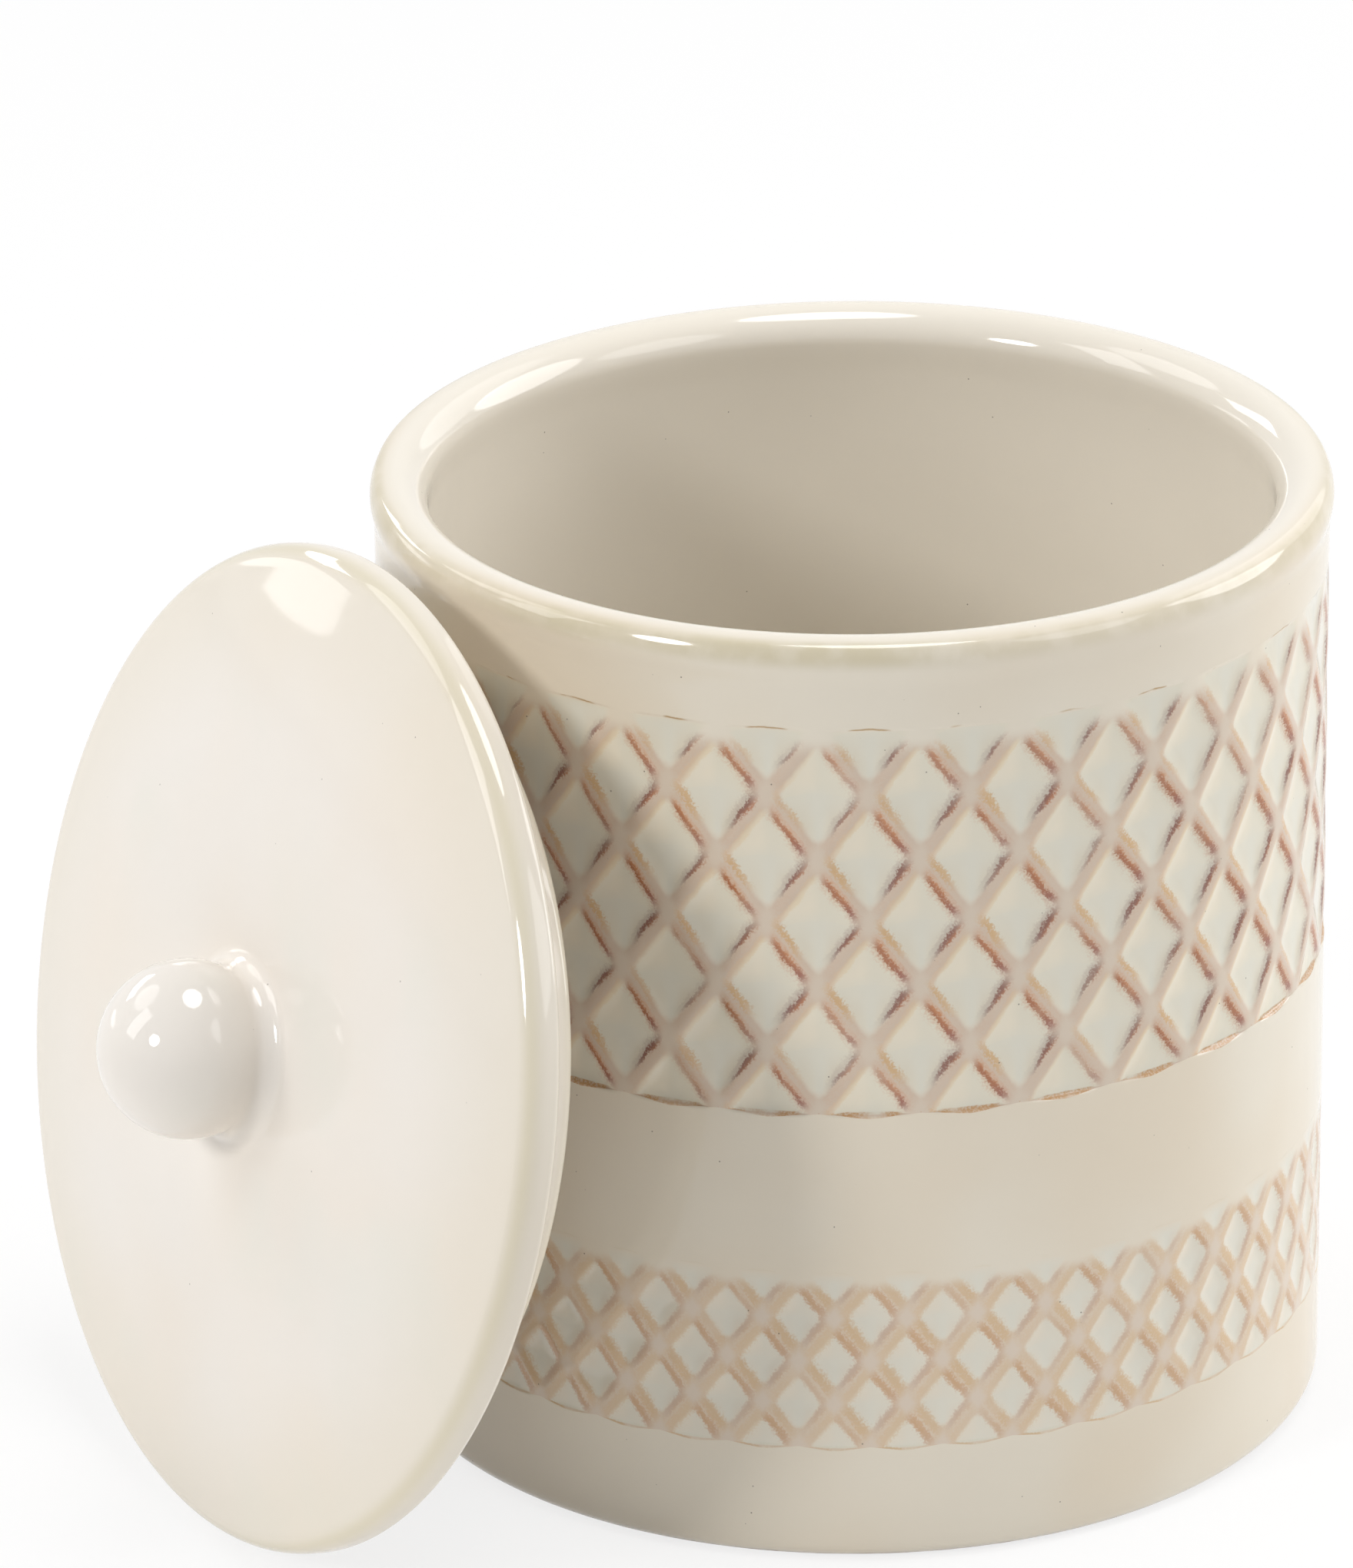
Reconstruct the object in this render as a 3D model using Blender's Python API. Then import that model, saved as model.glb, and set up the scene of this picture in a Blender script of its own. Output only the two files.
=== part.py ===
"""Covered stoneware jar with two bands of raised diamond lattice and a domed lid with a ball knob.

The jar stands on its flat base at the origin, +Z up. The lid is off: it stands on its rim on the same
surface and leans against the jar's wall on the -X side. Lengths are in metres and angles in degrees.
"""

import math

import bmesh
import bpy

# Jar, with its height made up from the base: foot, lower lattice, waist, upper lattice, collar, lip
WALL_RADIUS = 0.0570
FOOT_RISE = 0.0150
LOWER_BAND_RISE = 0.0223
WAIST_RISE = 0.0208
UPPER_BAND_RISE = 0.0482
COLLAR_RISE = 0.0069
LIP_HEIGHT = 0.0045
LIP_OVERHANG = 0.0004
LIP_WIDTH = 0.0068
LIP_OUTER_ROUND = 0.0017
LIP_INNER_ROUND = 0.0022
LIP_FALL = 0.0006
WALL_THICKNESS = 0.0060
FLOOR_THICKNESS = 0.0060
COVE_RADIUS = 0.0080
BASE_ROUND = 0.0025

# Lattice bands, each with whole columns round the jar
UPPER_COLUMNS = 30
UPPER_ROWS = 6
UPPER_TURN = 1.8
UPPER_RIB_WIDTH = 0.0020
LOWER_COLUMNS = 42
LOWER_ROWS = 4
LOWER_TURN = 6.1
LOWER_RIB_WIDTH = 0.0026
RECESS_DEPTH = 0.0006
RECESS_SLOPE = 0.0008

# Lid
LID_OVERHANG = 0.0023
LID_EDGE = 0.0048
LID_EDGE_ROUND = 0.0030
LID_UNDER_ROUND = 0.0010
DOME_RISE = 0.0045
LID_THICKNESS = 0.0050
FLANGE_CLEARANCE = 0.0010
FLANGE_DEPTH = 0.0077
FLANGE_THICKNESS = 0.0040
FLANGE_ROUND = 0.0008
LEAN_ANGLE = 12.2

# Knob
BALL_RADIUS = 0.0107
BALL_CENTRE_RISE = 0.0064
NECK_ROUND = 0.0023
KNOB_FOOT_EDGE = 0.0004

# Gap between pieces that touch
TOUCH_GAP = 0.0003

# Faceting
TURN_STEPS = 60
KNOB_STEPS = 32
ARC_STEP = 15.0
ARC_FACET = 0.0008
SHARP_ANGLE = 35.0
MERGE_DISTANCE = 0.000001

LOWER_BAND_TOP = FOOT_RISE + LOWER_BAND_RISE
UPPER_BAND_FOOT = LOWER_BAND_TOP + WAIST_RISE
LIP_FOOT = UPPER_BAND_FOOT + UPPER_BAND_RISE + COLLAR_RISE
JAR_HEIGHT = LIP_FOOT + LIP_HEIGHT
INNER_RADIUS = WALL_RADIUS - WALL_THICKNESS
LIP_RADIUS = WALL_RADIUS + LIP_OVERHANG
MOUTH_RADIUS = LIP_RADIUS - LIP_WIDTH
LID_RADIUS = LIP_RADIUS + LID_OVERHANG
FLANGE_RADIUS = MOUTH_RADIUS - FLANGE_CLEARANCE
FLANGE_BORE = FLANGE_RADIUS - FLANGE_THICKNESS
CROWN_RADIUS = LID_RADIUS - LID_EDGE_ROUND
DOME_TOP = LID_EDGE + DOME_RISE
NECK_FOOT_RADIUS = math.sqrt((BALL_RADIUS + NECK_ROUND) ** 2 - (BALL_CENTRE_RISE - NECK_ROUND) ** 2)


def arc(centre_r, centre_z, radius, start, end):
    """Points (r, z) of an arc from angle start to angle end, both kept, about a centre."""
    most = math.ceil(abs(end - start) / ARC_STEP)
    steps = min(most, max(2, math.ceil(math.radians(abs(end - start)) * radius / ARC_FACET)))
    points = []
    for step in range(steps + 1):
        angle = math.radians(start + (end - start) * step / steps)
        points.append((centre_r + radius * math.cos(angle), centre_z + radius * math.sin(angle)))
    return points


def make_material(name, colour, roughness):
    """A glossy glazed clay finish."""
    material = bpy.data.materials.new(name)
    material.use_nodes = True
    shader = material.node_tree.nodes["Principled BSDF"]
    shader.inputs["Base Color"].default_value = (*colour, 1)
    shader.inputs["Roughness"].default_value = roughness
    shader.inputs["Metallic"].default_value = 0
    material.diffuse_color = (*colour, 1)
    return material


def make_object(name, bm, material):
    """Close up a bmesh as one named object with outward faces and smooth shading."""
    bmesh.ops.remove_doubles(bm, verts=bm.verts, dist=MERGE_DISTANCE)
    bmesh.ops.recalc_face_normals(bm, faces=bm.faces)
    mesh = bpy.data.meshes.new(name)
    bm.to_mesh(mesh)
    bm.free()
    mesh.shade_smooth()
    mesh.set_sharp_from_angle(angle=math.radians(SHARP_ANGLE))
    mesh.materials.append(material)
    piece = bpy.data.objects.new(name, mesh)
    bpy.context.scene.collection.objects.link(piece)
    return piece


def make_empty(name, location, rotation):
    """An empty that carries the pieces of a loose body."""
    empty = bpy.data.objects.new(name, None)
    empty.location = location
    empty.rotation_euler = rotation
    bpy.context.scene.collection.objects.link(empty)
    return empty


def turned(outline, steps):
    """Turn a closed outline of (r, z) points, which starts and ends on the axis, into a bmesh."""
    bm = bmesh.new()
    verts = [bm.verts.new((r, 0, z)) for r, z in outline]
    edges = [bm.edges.new(pair) for pair in zip(verts, verts[1:])]
    bmesh.ops.spin(bm, geom=verts + edges, cent=(0, 0, 0), axis=(0, 0, 1), angle=math.tau, steps=steps)
    return bm


def ring(bm, radius, height, count, turn=0):
    """A ring of vertices at a height, as (angle, vertex) pairs in order of angle."""
    made = []
    for index in range(count):
        angle = math.radians(turn) + math.tau * index / count
        place = (radius * math.cos(angle), radius * math.sin(angle), height)
        made.append((angle, bm.verts.new(place)))
    return made


def stitch(bm, lower, upper):
    """Join two rings with triangles, whatever their counts, by stepping the ring that is behind."""
    start = min(range(len(upper)), key=lambda k: abs(turn_between(lower[0][0], upper[k][0])))
    upper = upper[start:] + upper[:start]
    low_angles = unwound(lower, lower[0][0])
    high_angles = unwound(upper, lower[0][0])
    low = 0
    high = 0
    while low < len(lower) or high < len(upper):
        low_next = low_angles[low + 1] if low < len(lower) else math.inf
        high_next = high_angles[high + 1] if high < len(upper) else math.inf
        here = lower[low % len(lower)][1]
        there = upper[high % len(upper)][1]
        if low_next <= high_next:
            low += 1
            bm.faces.new((here, lower[low % len(lower)][1], there))
        else:
            high += 1
            bm.faces.new((here, upper[high % len(upper)][1], there))


def turn_between(first, second):
    """The signed turn from one angle to another, within half a turn either way."""
    return (second - first + math.pi) % math.tau - math.pi


def unwound(pairs, origin):
    """The rising angles of a ring from near an origin angle, with the first one again a turn on."""
    first = origin + turn_between(origin, pairs[0][0])
    angles = [first + (angle - pairs[0][0]) % math.tau for angle, _ in pairs]
    return angles + [first + math.tau]


class LatticeBand:
    """One sunk band: diamond pockets between crossing ribs that stay flush with the wall.

    Places are counted in half columns round the jar and half rows up it. Ribs cross where the two
    counts add up to an odd number, and pockets are centred where they add up to an even one, so the
    band has half pockets along its two borders.
    """

    def __init__(self, bm, height, rise, columns, rows, turn, rib_width):
        self.bm = bm
        self.height = height
        self.columns = columns
        self.rows = rows
        self.turn = math.radians(turn)
        self.half_row = rise / rows
        half_column = math.pi * WALL_RADIUS / columns
        spacing = 2 * half_column * self.half_row / math.hypot(half_column, self.half_row)
        self.edge_share = 1 - rib_width / spacing
        self.floor_share = self.edge_share - 2 * RECESS_SLOPE / spacing
        self.border_share = RECESS_SLOPE / self.half_row
        self.found = {}

    def vert(self, across, up, depth=0.0):
        """The vertex at a place on the band, made once and shared by its faces."""
        across = across % (2 * self.columns)
        key = (round(across, 4) % (2 * self.columns), round(up, 4), depth > 0)
        if key not in self.found:
            angle = self.angle(across)
            radius = WALL_RADIUS - depth
            height = self.height + up * self.half_row
            self.found[key] = self.bm.verts.new((radius * math.cos(angle), radius * math.sin(angle), height))
        return self.found[key]

    def angle(self, across):
        """The angle of a place that is counted in half columns."""
        return self.turn + math.pi * across / self.columns

    def pocket(self, across, up):
        """A whole diamond pocket: a floor and four sloping sides."""
        corners = ((1, 0), (0, 1), (-1, 0), (0, -1))
        edge = [self.vert(across + x * self.edge_share, up + y * self.edge_share) for x, y in corners]
        floor = [self.vert(across + x * self.floor_share, up + y * self.floor_share, RECESS_DEPTH)
                 for x, y in corners]
        self.sunk(edge, floor)

    def half_pocket(self, across, border):
        """A pocket that a border cuts in half."""
        inward = 1 if border == 0 else -1
        rise = inward * self.border_share
        reach = self.floor_share - self.border_share
        edge = [self.vert(across + self.edge_share, border),
                self.vert(across, border + inward * self.edge_share),
                self.vert(across - self.edge_share, border)]
        floor = [self.vert(across + reach, border + rise, RECESS_DEPTH),
                 self.vert(across, border + inward * self.floor_share, RECESS_DEPTH),
                 self.vert(across - reach, border + rise, RECESS_DEPTH)]
        self.sunk(edge, floor)

    def sunk(self, edge, floor):
        """The floor of a pocket and the sides that climb from it to its edge."""
        self.bm.faces.new(floor)
        for index in range(len(edge)):
            after = (index + 1) % len(edge)
            self.bm.faces.new((edge[index], edge[after], floor[after], floor[index]))

    def crossing(self, across, up):
        """The flat where ribs cross, between the tips of the pockets round it."""
        tip = 1 - self.edge_share
        corners = [(across + tip, up), (across, up + tip), (across - tip, up), (across, up - tip)]
        kept = [corner for corner in corners if 0 <= corner[1] <= self.rows]
        self.bm.faces.new([self.vert(x, y) for x, y in kept])

    def rib(self, across, up, way):
        """The stretch of rib that climbs one half row, to the side that way says."""
        tip = 1 - self.edge_share
        self.bm.faces.new([self.vert(across + way * tip, up), self.vert(across + way, up + self.edge_share),
                           self.vert(across + way * self.edge_share, up + 1), self.vert(across, up + tip)])

    def build(self):
        """Make every pocket, crossing and rib, and give back the two border rings."""
        for up in range(self.rows + 1):
            for across in range(2 * self.columns):
                if (across + up) % 2 == 1:
                    self.crossing(across, up)
                    if up < self.rows:
                        self.rib(across, up, 1)
                        self.rib(across, up, -1)
                elif up in (0, self.rows):
                    self.half_pocket(across, up)
                else:
                    self.pocket(across, up)
        return self.border(0), self.border(self.rows)

    def border(self, up):
        """The ring of vertices along a border, in order of angle."""
        made = []
        for across in range(2 * self.columns):
            if (across + up) % 2 == 1:
                tip = 1 - self.edge_share
                for place in (across - tip, across + tip):
                    made.append((self.angle(place), self.vert(place, up)))
        return made


def base_outline():
    """The rounded edge between the flat base and the wall."""
    return arc(WALL_RADIUS - BASE_ROUND, BASE_ROUND, BASE_ROUND, -90, 0)


def lip_outline():
    """The lip from its outer foot, over the rounded top that falls inwards, to the inner wall."""
    outer = arc(LIP_RADIUS - LIP_OUTER_ROUND, JAR_HEIGHT - LIP_OUTER_ROUND, LIP_OUTER_ROUND, 0, 90)
    inner_top = JAR_HEIGHT - LIP_FALL
    inner = arc(MOUTH_RADIUS + LIP_INNER_ROUND, inner_top - LIP_INNER_ROUND, LIP_INNER_ROUND, 90, 180)
    return [(WALL_RADIUS, LIP_FOOT)] + outer + inner + [(INNER_RADIUS, LIP_FOOT)]


def make_jar(material):
    """The jar: a turned wall, floor and lip, with the two lattice bands set into the outside."""
    bm = bmesh.new()
    lower = LatticeBand(bm, FOOT_RISE, LOWER_BAND_RISE, LOWER_COLUMNS, LOWER_ROWS, LOWER_TURN,
                        LOWER_RIB_WIDTH)
    upper = LatticeBand(bm, UPPER_BAND_FOOT, UPPER_BAND_RISE, UPPER_COLUMNS, UPPER_ROWS, UPPER_TURN,
                        UPPER_RIB_WIDTH)
    lower_foot, lower_head = lower.build()
    upper_foot, upper_head = upper.build()
    cove = arc(INNER_RADIUS - COVE_RADIUS, FLOOR_THICKNESS + COVE_RADIUS, COVE_RADIUS, 0, -90)
    base_rings = [ring(bm, r, z, TURN_STEPS) for r, z in base_outline()]
    mouth_rings = [ring(bm, r, z, TURN_STEPS) for r, z in lip_outline() + cove]
    for chain in (base_rings + [lower_foot], [lower_head, upper_foot], [upper_head] + mouth_rings):
        for below, above in zip(chain, chain[1:]):
            stitch(bm, below, above)
    bm.faces.new([vert for _, vert in base_rings[0]])
    bm.faces.new([vert for _, vert in mouth_rings[-1]])
    return make_object("jar_body", bm, material)


def dome_height(radius):
    """The height of the dome's outside over the lid's seat plane at a radius."""
    return DOME_TOP - DOME_RISE * (radius / CROWN_RADIUS) ** 2


def knob_seat_height(radius):
    """The height of the shallow cone at the dome's top, which the knob's foot sits on."""
    return DOME_TOP - (DOME_TOP - dome_height(NECK_FOOT_RADIUS)) * radius / NECK_FOOT_RADIUS


def lid_outline():
    """The lid in section, from the top of the dome, round the rim and the flange, to the underside."""
    dome_shares = (0.34, 0.48, 0.62, 0.76, 0.88, 1)
    dome = [(CROWN_RADIUS * share, dome_height(CROWN_RADIUS * share)) for share in dome_shares]
    edge_slope = math.degrees(math.atan(2 * DOME_RISE / CROWN_RADIUS))
    edge = arc(CROWN_RADIUS, LID_EDGE - LID_EDGE_ROUND, LID_EDGE_ROUND, 90 - edge_slope, 0)
    under = arc(LID_RADIUS - LID_UNDER_ROUND, LID_UNDER_ROUND, LID_UNDER_ROUND, 0, -90)
    outer = arc(FLANGE_RADIUS - FLANGE_ROUND, FLANGE_ROUND - FLANGE_DEPTH, FLANGE_ROUND, 0, -90)
    inner = arc(FLANGE_BORE + FLANGE_ROUND, FLANGE_ROUND - FLANGE_DEPTH, FLANGE_ROUND, -90, -180)
    hollow_shares = (1, 0.96, 0.75, 0.45)
    hollow = [(FLANGE_BORE * share, dome_height(FLANGE_BORE * share) - LID_THICKNESS)
              for share in hollow_shares]
    hollow[0] = (FLANGE_BORE, hollow[0][1] - FLANGE_ROUND)
    top = [(0, DOME_TOP), (NECK_FOOT_RADIUS, dome_height(NECK_FOOT_RADIUS))]
    foot = [(0, DOME_TOP - LID_THICKNESS)]
    return top + dome + edge + under + [(FLANGE_RADIUS, 0)] + outer + inner + hollow + foot


def knob_outline():
    """The knob in section, from the top of the ball, down the neck's fillet, to its foot on the dome."""
    seat = dome_height(NECK_FOOT_RADIUS) + TOUCH_GAP
    meet = math.degrees(math.asin((BALL_CENTRE_RISE - NECK_ROUND) / (BALL_RADIUS + NECK_ROUND)))
    ball = arc(0, seat + BALL_CENTRE_RISE, BALL_RADIUS, 90, -meet)
    foot_angle = math.degrees(math.acos(1 - KNOB_FOOT_EDGE / NECK_ROUND))
    fillet = arc(NECK_FOOT_RADIUS, seat + NECK_ROUND, NECK_ROUND, 180 - meet, 270 - foot_angle)
    foot_radius = fillet[-1][0]
    foot = [(foot_radius, knob_seat_height(foot_radius) + TOUCH_GAP), (0, DOME_TOP + TOUCH_GAP)]
    return [(0, ball[0][1])] + ball[1:] + fillet[1:] + foot


def widest(outline, height):
    """The farthest that a section reaches at a height, or None where it doesn't cross it."""
    found = []
    for (x, z), (next_x, next_z) in zip(outline, outline[1:]):
        if z != next_z and min(z, next_z) <= height <= max(z, next_z):
            found.append(x + (next_x - x) * (height - z) / (next_z - z))
    return max(found, default=None)


def lean_place():
    """Where the centre of the lid's seat plane is when it stands on its rim and leans on the jar."""
    tilt = math.radians(LEAN_ANGLE)
    halves = [(side * r, a) for side in (1, -1) for r, a in lid_outline()]
    height = max(-s * math.cos(tilt) - a * math.sin(tilt) for s, a in halves)
    leaning = [(s * math.sin(tilt) - a * math.cos(tilt), height + s * math.cos(tilt) + a * math.sin(tilt))
               for s, a in halves]
    jar = base_outline() + lip_outline()
    shift = math.inf
    for _, z in leaning + jar:
        lid_reach = widest(leaning, z)
        jar_reach = widest(jar, z)
        if lid_reach is not None and jar_reach is not None:
            shift = min(shift, -jar_reach - TOUCH_GAP - lid_reach)
    return shift, height


def make_lid(material):
    """The lid and its knob, carried by an empty on the lid's axis at its seat plane."""
    across, height = lean_place()
    carrier = make_empty("lid_axis", (across, 0, height), (0, math.radians(LEAN_ANGLE - 90), 0))
    lid = make_object("lid", turned(lid_outline(), TURN_STEPS), material)
    knob = make_object("lid_knob", turned(knob_outline(), KNOB_STEPS), material.copy())
    lid.parent = carrier
    knob.parent = carrier


def main():
    """Clear the scene and build the jar and its lid."""
    for old in list(bpy.data.objects):
        bpy.data.objects.remove(old, do_unlink=True)
    make_jar(make_material("jar_glaze", (0.74, 0.69, 0.60), 0.12))
    make_lid(make_material("lid_glaze", (0.86, 0.83, 0.77), 0.10))


main()
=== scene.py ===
"""Looks of a covered stoneware jar: lattice relief, lid and knob, their glazes, the light and the camera.

Lengths are in metres and angles in degrees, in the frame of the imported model. The jar stands on its base
at the origin with +Z up, and the lid stands on its rim beside it and leans on it from the -X side.
"""

import logging
import math
from collections.abc import Callable, Sequence
from dataclasses import dataclass
from enum import Enum
from types import SimpleNamespace
from typing import Any

import bmesh
import bpy
from mathutils import Matrix, Vector

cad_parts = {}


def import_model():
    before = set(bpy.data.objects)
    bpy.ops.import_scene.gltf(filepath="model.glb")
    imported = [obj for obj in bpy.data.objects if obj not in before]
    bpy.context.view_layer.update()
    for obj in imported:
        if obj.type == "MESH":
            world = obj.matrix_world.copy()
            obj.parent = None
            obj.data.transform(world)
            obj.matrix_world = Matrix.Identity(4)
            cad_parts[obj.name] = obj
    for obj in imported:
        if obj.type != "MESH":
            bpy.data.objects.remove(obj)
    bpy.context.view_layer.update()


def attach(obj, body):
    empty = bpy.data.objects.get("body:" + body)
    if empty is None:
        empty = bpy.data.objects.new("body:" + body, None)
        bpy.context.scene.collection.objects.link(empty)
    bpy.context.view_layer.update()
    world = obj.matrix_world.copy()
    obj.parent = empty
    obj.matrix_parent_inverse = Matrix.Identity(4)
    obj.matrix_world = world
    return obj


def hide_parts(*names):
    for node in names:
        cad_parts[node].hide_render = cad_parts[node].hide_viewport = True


log = logging.getLogger("covered_jar")

TURN_STEPS = 320
LID_STEPS = 256
KNOB_STEPS = 128
ARC_STEP = 7.5
MERGE_DISTANCE = 0.000004
HOLLOW_SHARES = (0.3, 0.65, 0.94)
FLOOR_SHARES = (0.9, 0.7, 0.45, 0.2)
CEILING_SHARES = (0.96, 0.85, 0.7, 0.55, 0.4, 0.2)
WHITE = (1.0, 1.0, 1.0)

Colour = tuple[float, float, float]
Span = tuple[float, float]
Outline = list[tuple[float, float]]
Ring = list[tuple[float, bmesh.types.BMVert]]


class Body(Enum):
    """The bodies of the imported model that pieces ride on."""

    JAR = "jar"
    LID = "lid"


class Slot(Enum):
    """The record's material slots."""

    JAR = "jar_glaze"
    LID = "lid_glaze"
    KNOB = "knob_glaze"


class Side(Enum):
    """The four sides of a diamond pocket."""

    UPPER_RIGHT = "upper right"
    LOWER_RIGHT = "lower right"
    UPPER_LEFT = "upper left"
    LOWER_LEFT = "lower left"


class LampShape(Enum):
    """The outlines of the studio lamps."""

    OVAL = "ELLIPSE"
    PANEL = "RECTANGLE"


def pigment(red: int, green: int, blue: int) -> Colour:
    """Turn a colour as a screen shows it, 0 to 255, into the linear colour that nodes take."""
    shares = (part / 255 for part in (red, green, blue))
    return tuple(s / 12.92 if s <= 0.04045 else ((s + 0.055) / 1.055) ** 2.4 for s in shares)


def outwards(azimuth: float, elevation: float) -> Vector:
    """The direction at a turn round +Z from the front, -Y, and an angle above the floor."""
    turn, lift = math.radians(azimuth), math.radians(elevation)
    return Vector((math.sin(turn) * math.cos(lift), -math.cos(turn) * math.cos(lift), math.sin(lift)))


def placed(name: str, data: bpy.types.ID) -> bpy.types.Object:
    """Make an object and put it in the scene.

    Args:
        name: The object's name.
        data: Its mesh, lamp or camera data.

    Returns:
        The object.
    """
    made = bpy.data.objects.new(name, data)
    bpy.context.scene.collection.objects.link(made)
    return made


def operator(operation: str, swapped: bool = False) -> Callable[["Wire", Any], "Wire"]:
    """Write the method behind one of a wire's operators.

    Args:
        operation: The Math node's operation.
        swapped: Whether the other value comes first, as in 1 - wire.

    Returns:
        The method, which takes a number or another wire.
    """
    def method(self: "Wire", other: Any) -> "Wire":
        """Add the Math node for this and the other."""
        return self.maths(operation, *((other, self) if swapped else (self, other)))

    return method


class Wire:
    """A number socket in a node tree that Python's operators work on, each by adding its Math node."""

    def __init__(self, sheet: "NodeSheet", socket: bpy.types.NodeSocket) -> None:
        """Wrap an output socket of a sheet's tree."""
        self.sheet = sheet
        self.socket = socket

    def maths(self, operation: str, *values: Any) -> "Wire":
        """Add a Math node to numbers or wires, given in the order of its inputs."""
        node = self.sheet.node("ShaderNodeMath", {"operation": operation}, dict(enumerate(values)))
        return self.sheet.wire(node.outputs[0])

    __add__, __radd__ = operator("ADD"), operator("ADD", swapped=True)
    __sub__, __rsub__ = operator("SUBTRACT"), operator("SUBTRACT", swapped=True)
    __mul__, __rmul__ = operator("MULTIPLY"), operator("MULTIPLY", swapped=True)
    __truediv__, __mod__ = operator("DIVIDE"), operator("FLOORED_MODULO")
    __gt__, __lt__ = operator("GREATER_THAN"), operator("LESS_THAN")
    least, most = operator("MINIMUM"), operator("MAXIMUM")

    def __abs__(self) -> "Wire":
        """This without its sign."""
        return self.maths("ABSOLUTE", self)

    def rounded(self) -> "Wire":
        """The nearest whole number."""
        return self.maths("ROUND", self)

    def held(self) -> "Wire":
        """This, held between zero and one."""
        return self.least(1.0).most(0.0)

    def partly(self, share: float) -> "Wire":
        """A share of this, with the rest made up by one."""
        return self * share + (1.0 - share)

    def most_softly(self, other: Any, reach: float) -> "Wire":
        """The greater of this and a number or wire, rounded over where the two are within reach."""
        return self.maths("SMOOTH_MAX", self, other, reach)

    def eased(self, start: float, end: float) -> "Wire":
        """A smooth step from zero at start to one at end.

        Args:
            start: Where the step is still zero. It may be above end, for a step that falls.
            end: Where the step reaches one.

        Returns:
            The step.
        """
        sockets = {"Value": self, "From Min": min(start, end), "From Max": max(start, end)}
        node = self.sheet.node("ShaderNodeMapRange", {"interpolation_type": "SMOOTHSTEP"}, sockets)
        step = self.sheet.wire(node.outputs[0])
        return 1.0 - step if start > end else step

    def bell(self, centre: Any, width: Any) -> "Wire":
        """A soft peak of one at a centre, which falls to about a third at a width from it."""
        away = (self - centre) / width
        return self.maths("EXPONENT", away * away * -1.0)


class NodeSheet:
    """A shader or geometry tree that is written node by node."""

    def __init__(self, tree: bpy.types.NodeTree) -> None:
        """Start on a tree."""
        self.tree = tree

    def node(self, kind: str, settings: dict[str, Any] | None = None,
             sockets: dict[Any, Any] | None = None) -> bpy.types.Node:
        """Add one node.

        Args:
            kind: The node's type.
            settings: Its properties, set first.
            sockets: Values, wires or output sockets by input name or number.

        Returns:
            The node.
        """
        made = self.tree.nodes.new(kind)
        for name, value in (settings or {}).items():
            setattr(made, name, value)
        for key, value in (sockets or {}).items():
            self.feed(made.inputs[key], value)
        return made

    def feed(self, socket: bpy.types.NodeSocket, value: Any) -> None:
        """Link or set one input socket.

        Args:
            socket: The input.
            value: A wire, an output socket, or a plain value.
        """
        source = value.socket if isinstance(value, Wire) else value
        if isinstance(source, bpy.types.NodeSocket):
            self.tree.links.new(source, socket)
        elif socket.type == "RGBA":
            socket.default_value = (*source, 1.0)
        else:
            socket.default_value = source

    def wire(self, socket: bpy.types.NodeSocket) -> Wire:
        """Wrap an output socket for sums."""
        return Wire(self, socket)

    def parts(self, vector: bpy.types.NodeSocket) -> tuple[Wire, Wire, Wire]:
        """Split a vector into its three numbers."""
        split = self.node("ShaderNodeSeparateXYZ", sockets={0: vector}).outputs
        return self.wire(split[0]), self.wire(split[1]), self.wire(split[2])

    def vector(self, across: Any, along: Any, up: Any) -> bpy.types.NodeSocket:
        """Join three numbers or wires into a vector."""
        return self.node("ShaderNodeCombineXYZ", sockets={0: across, 1: along, 2: up}).outputs[0]

    def blend(self, share: Any, below: Any, above: Any) -> bpy.types.NodeSocket:
        """Mix two colours by the share of the one above, a number or wire."""
        settings = {"data_type": "RGBA", "blend_type": "MIX"}
        return self.node("ShaderNodeMix", settings, {0: share, 6: below, 7: above}).outputs[2]


def axis_distance(x: Wire, y: Wire) -> Wire:
    """How far a place is from the +Z axis."""
    return x.maths("SQRT", x * x + y * y)


def arc_point(centre_r: float, centre_z: float, radius: float, angle: float) -> tuple[float, float]:
    """The (r, z) point at an angle on an arc, counted from +r towards +z."""
    turn = math.radians(angle)
    return centre_r + radius * math.cos(turn), centre_z + radius * math.sin(turn)


def arc(centre_r: float, centre_z: float, radius: float, start: float, end: float) -> Outline:
    """Points along an arc in an outline.

    Args:
        centre_r: How far the centre is from the axis.
        centre_z: The centre's height.
        radius: The arc's radius.
        start: The angle at its start, from +r towards +z.
        end: The angle at its end.

    Returns:
        The (r, z) points, both ends kept.
    """
    steps = max(2, math.ceil(abs(end - start) / ARC_STEP))
    angles = [start + (end - start) * step / steps for step in range(steps + 1)]
    return [arc_point(centre_r, centre_z, radius, angle) for angle in angles]


def line(start: Span, end: Span, steps: int) -> Outline:
    """The points that cut the line between two outline points into steps, both ends left out."""
    shares = [step / steps for step in range(1, steps)]
    return [(start[0] + (end[0] - start[0]) * s, start[1] + (end[1] - start[1]) * s) for s in shares]


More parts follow.
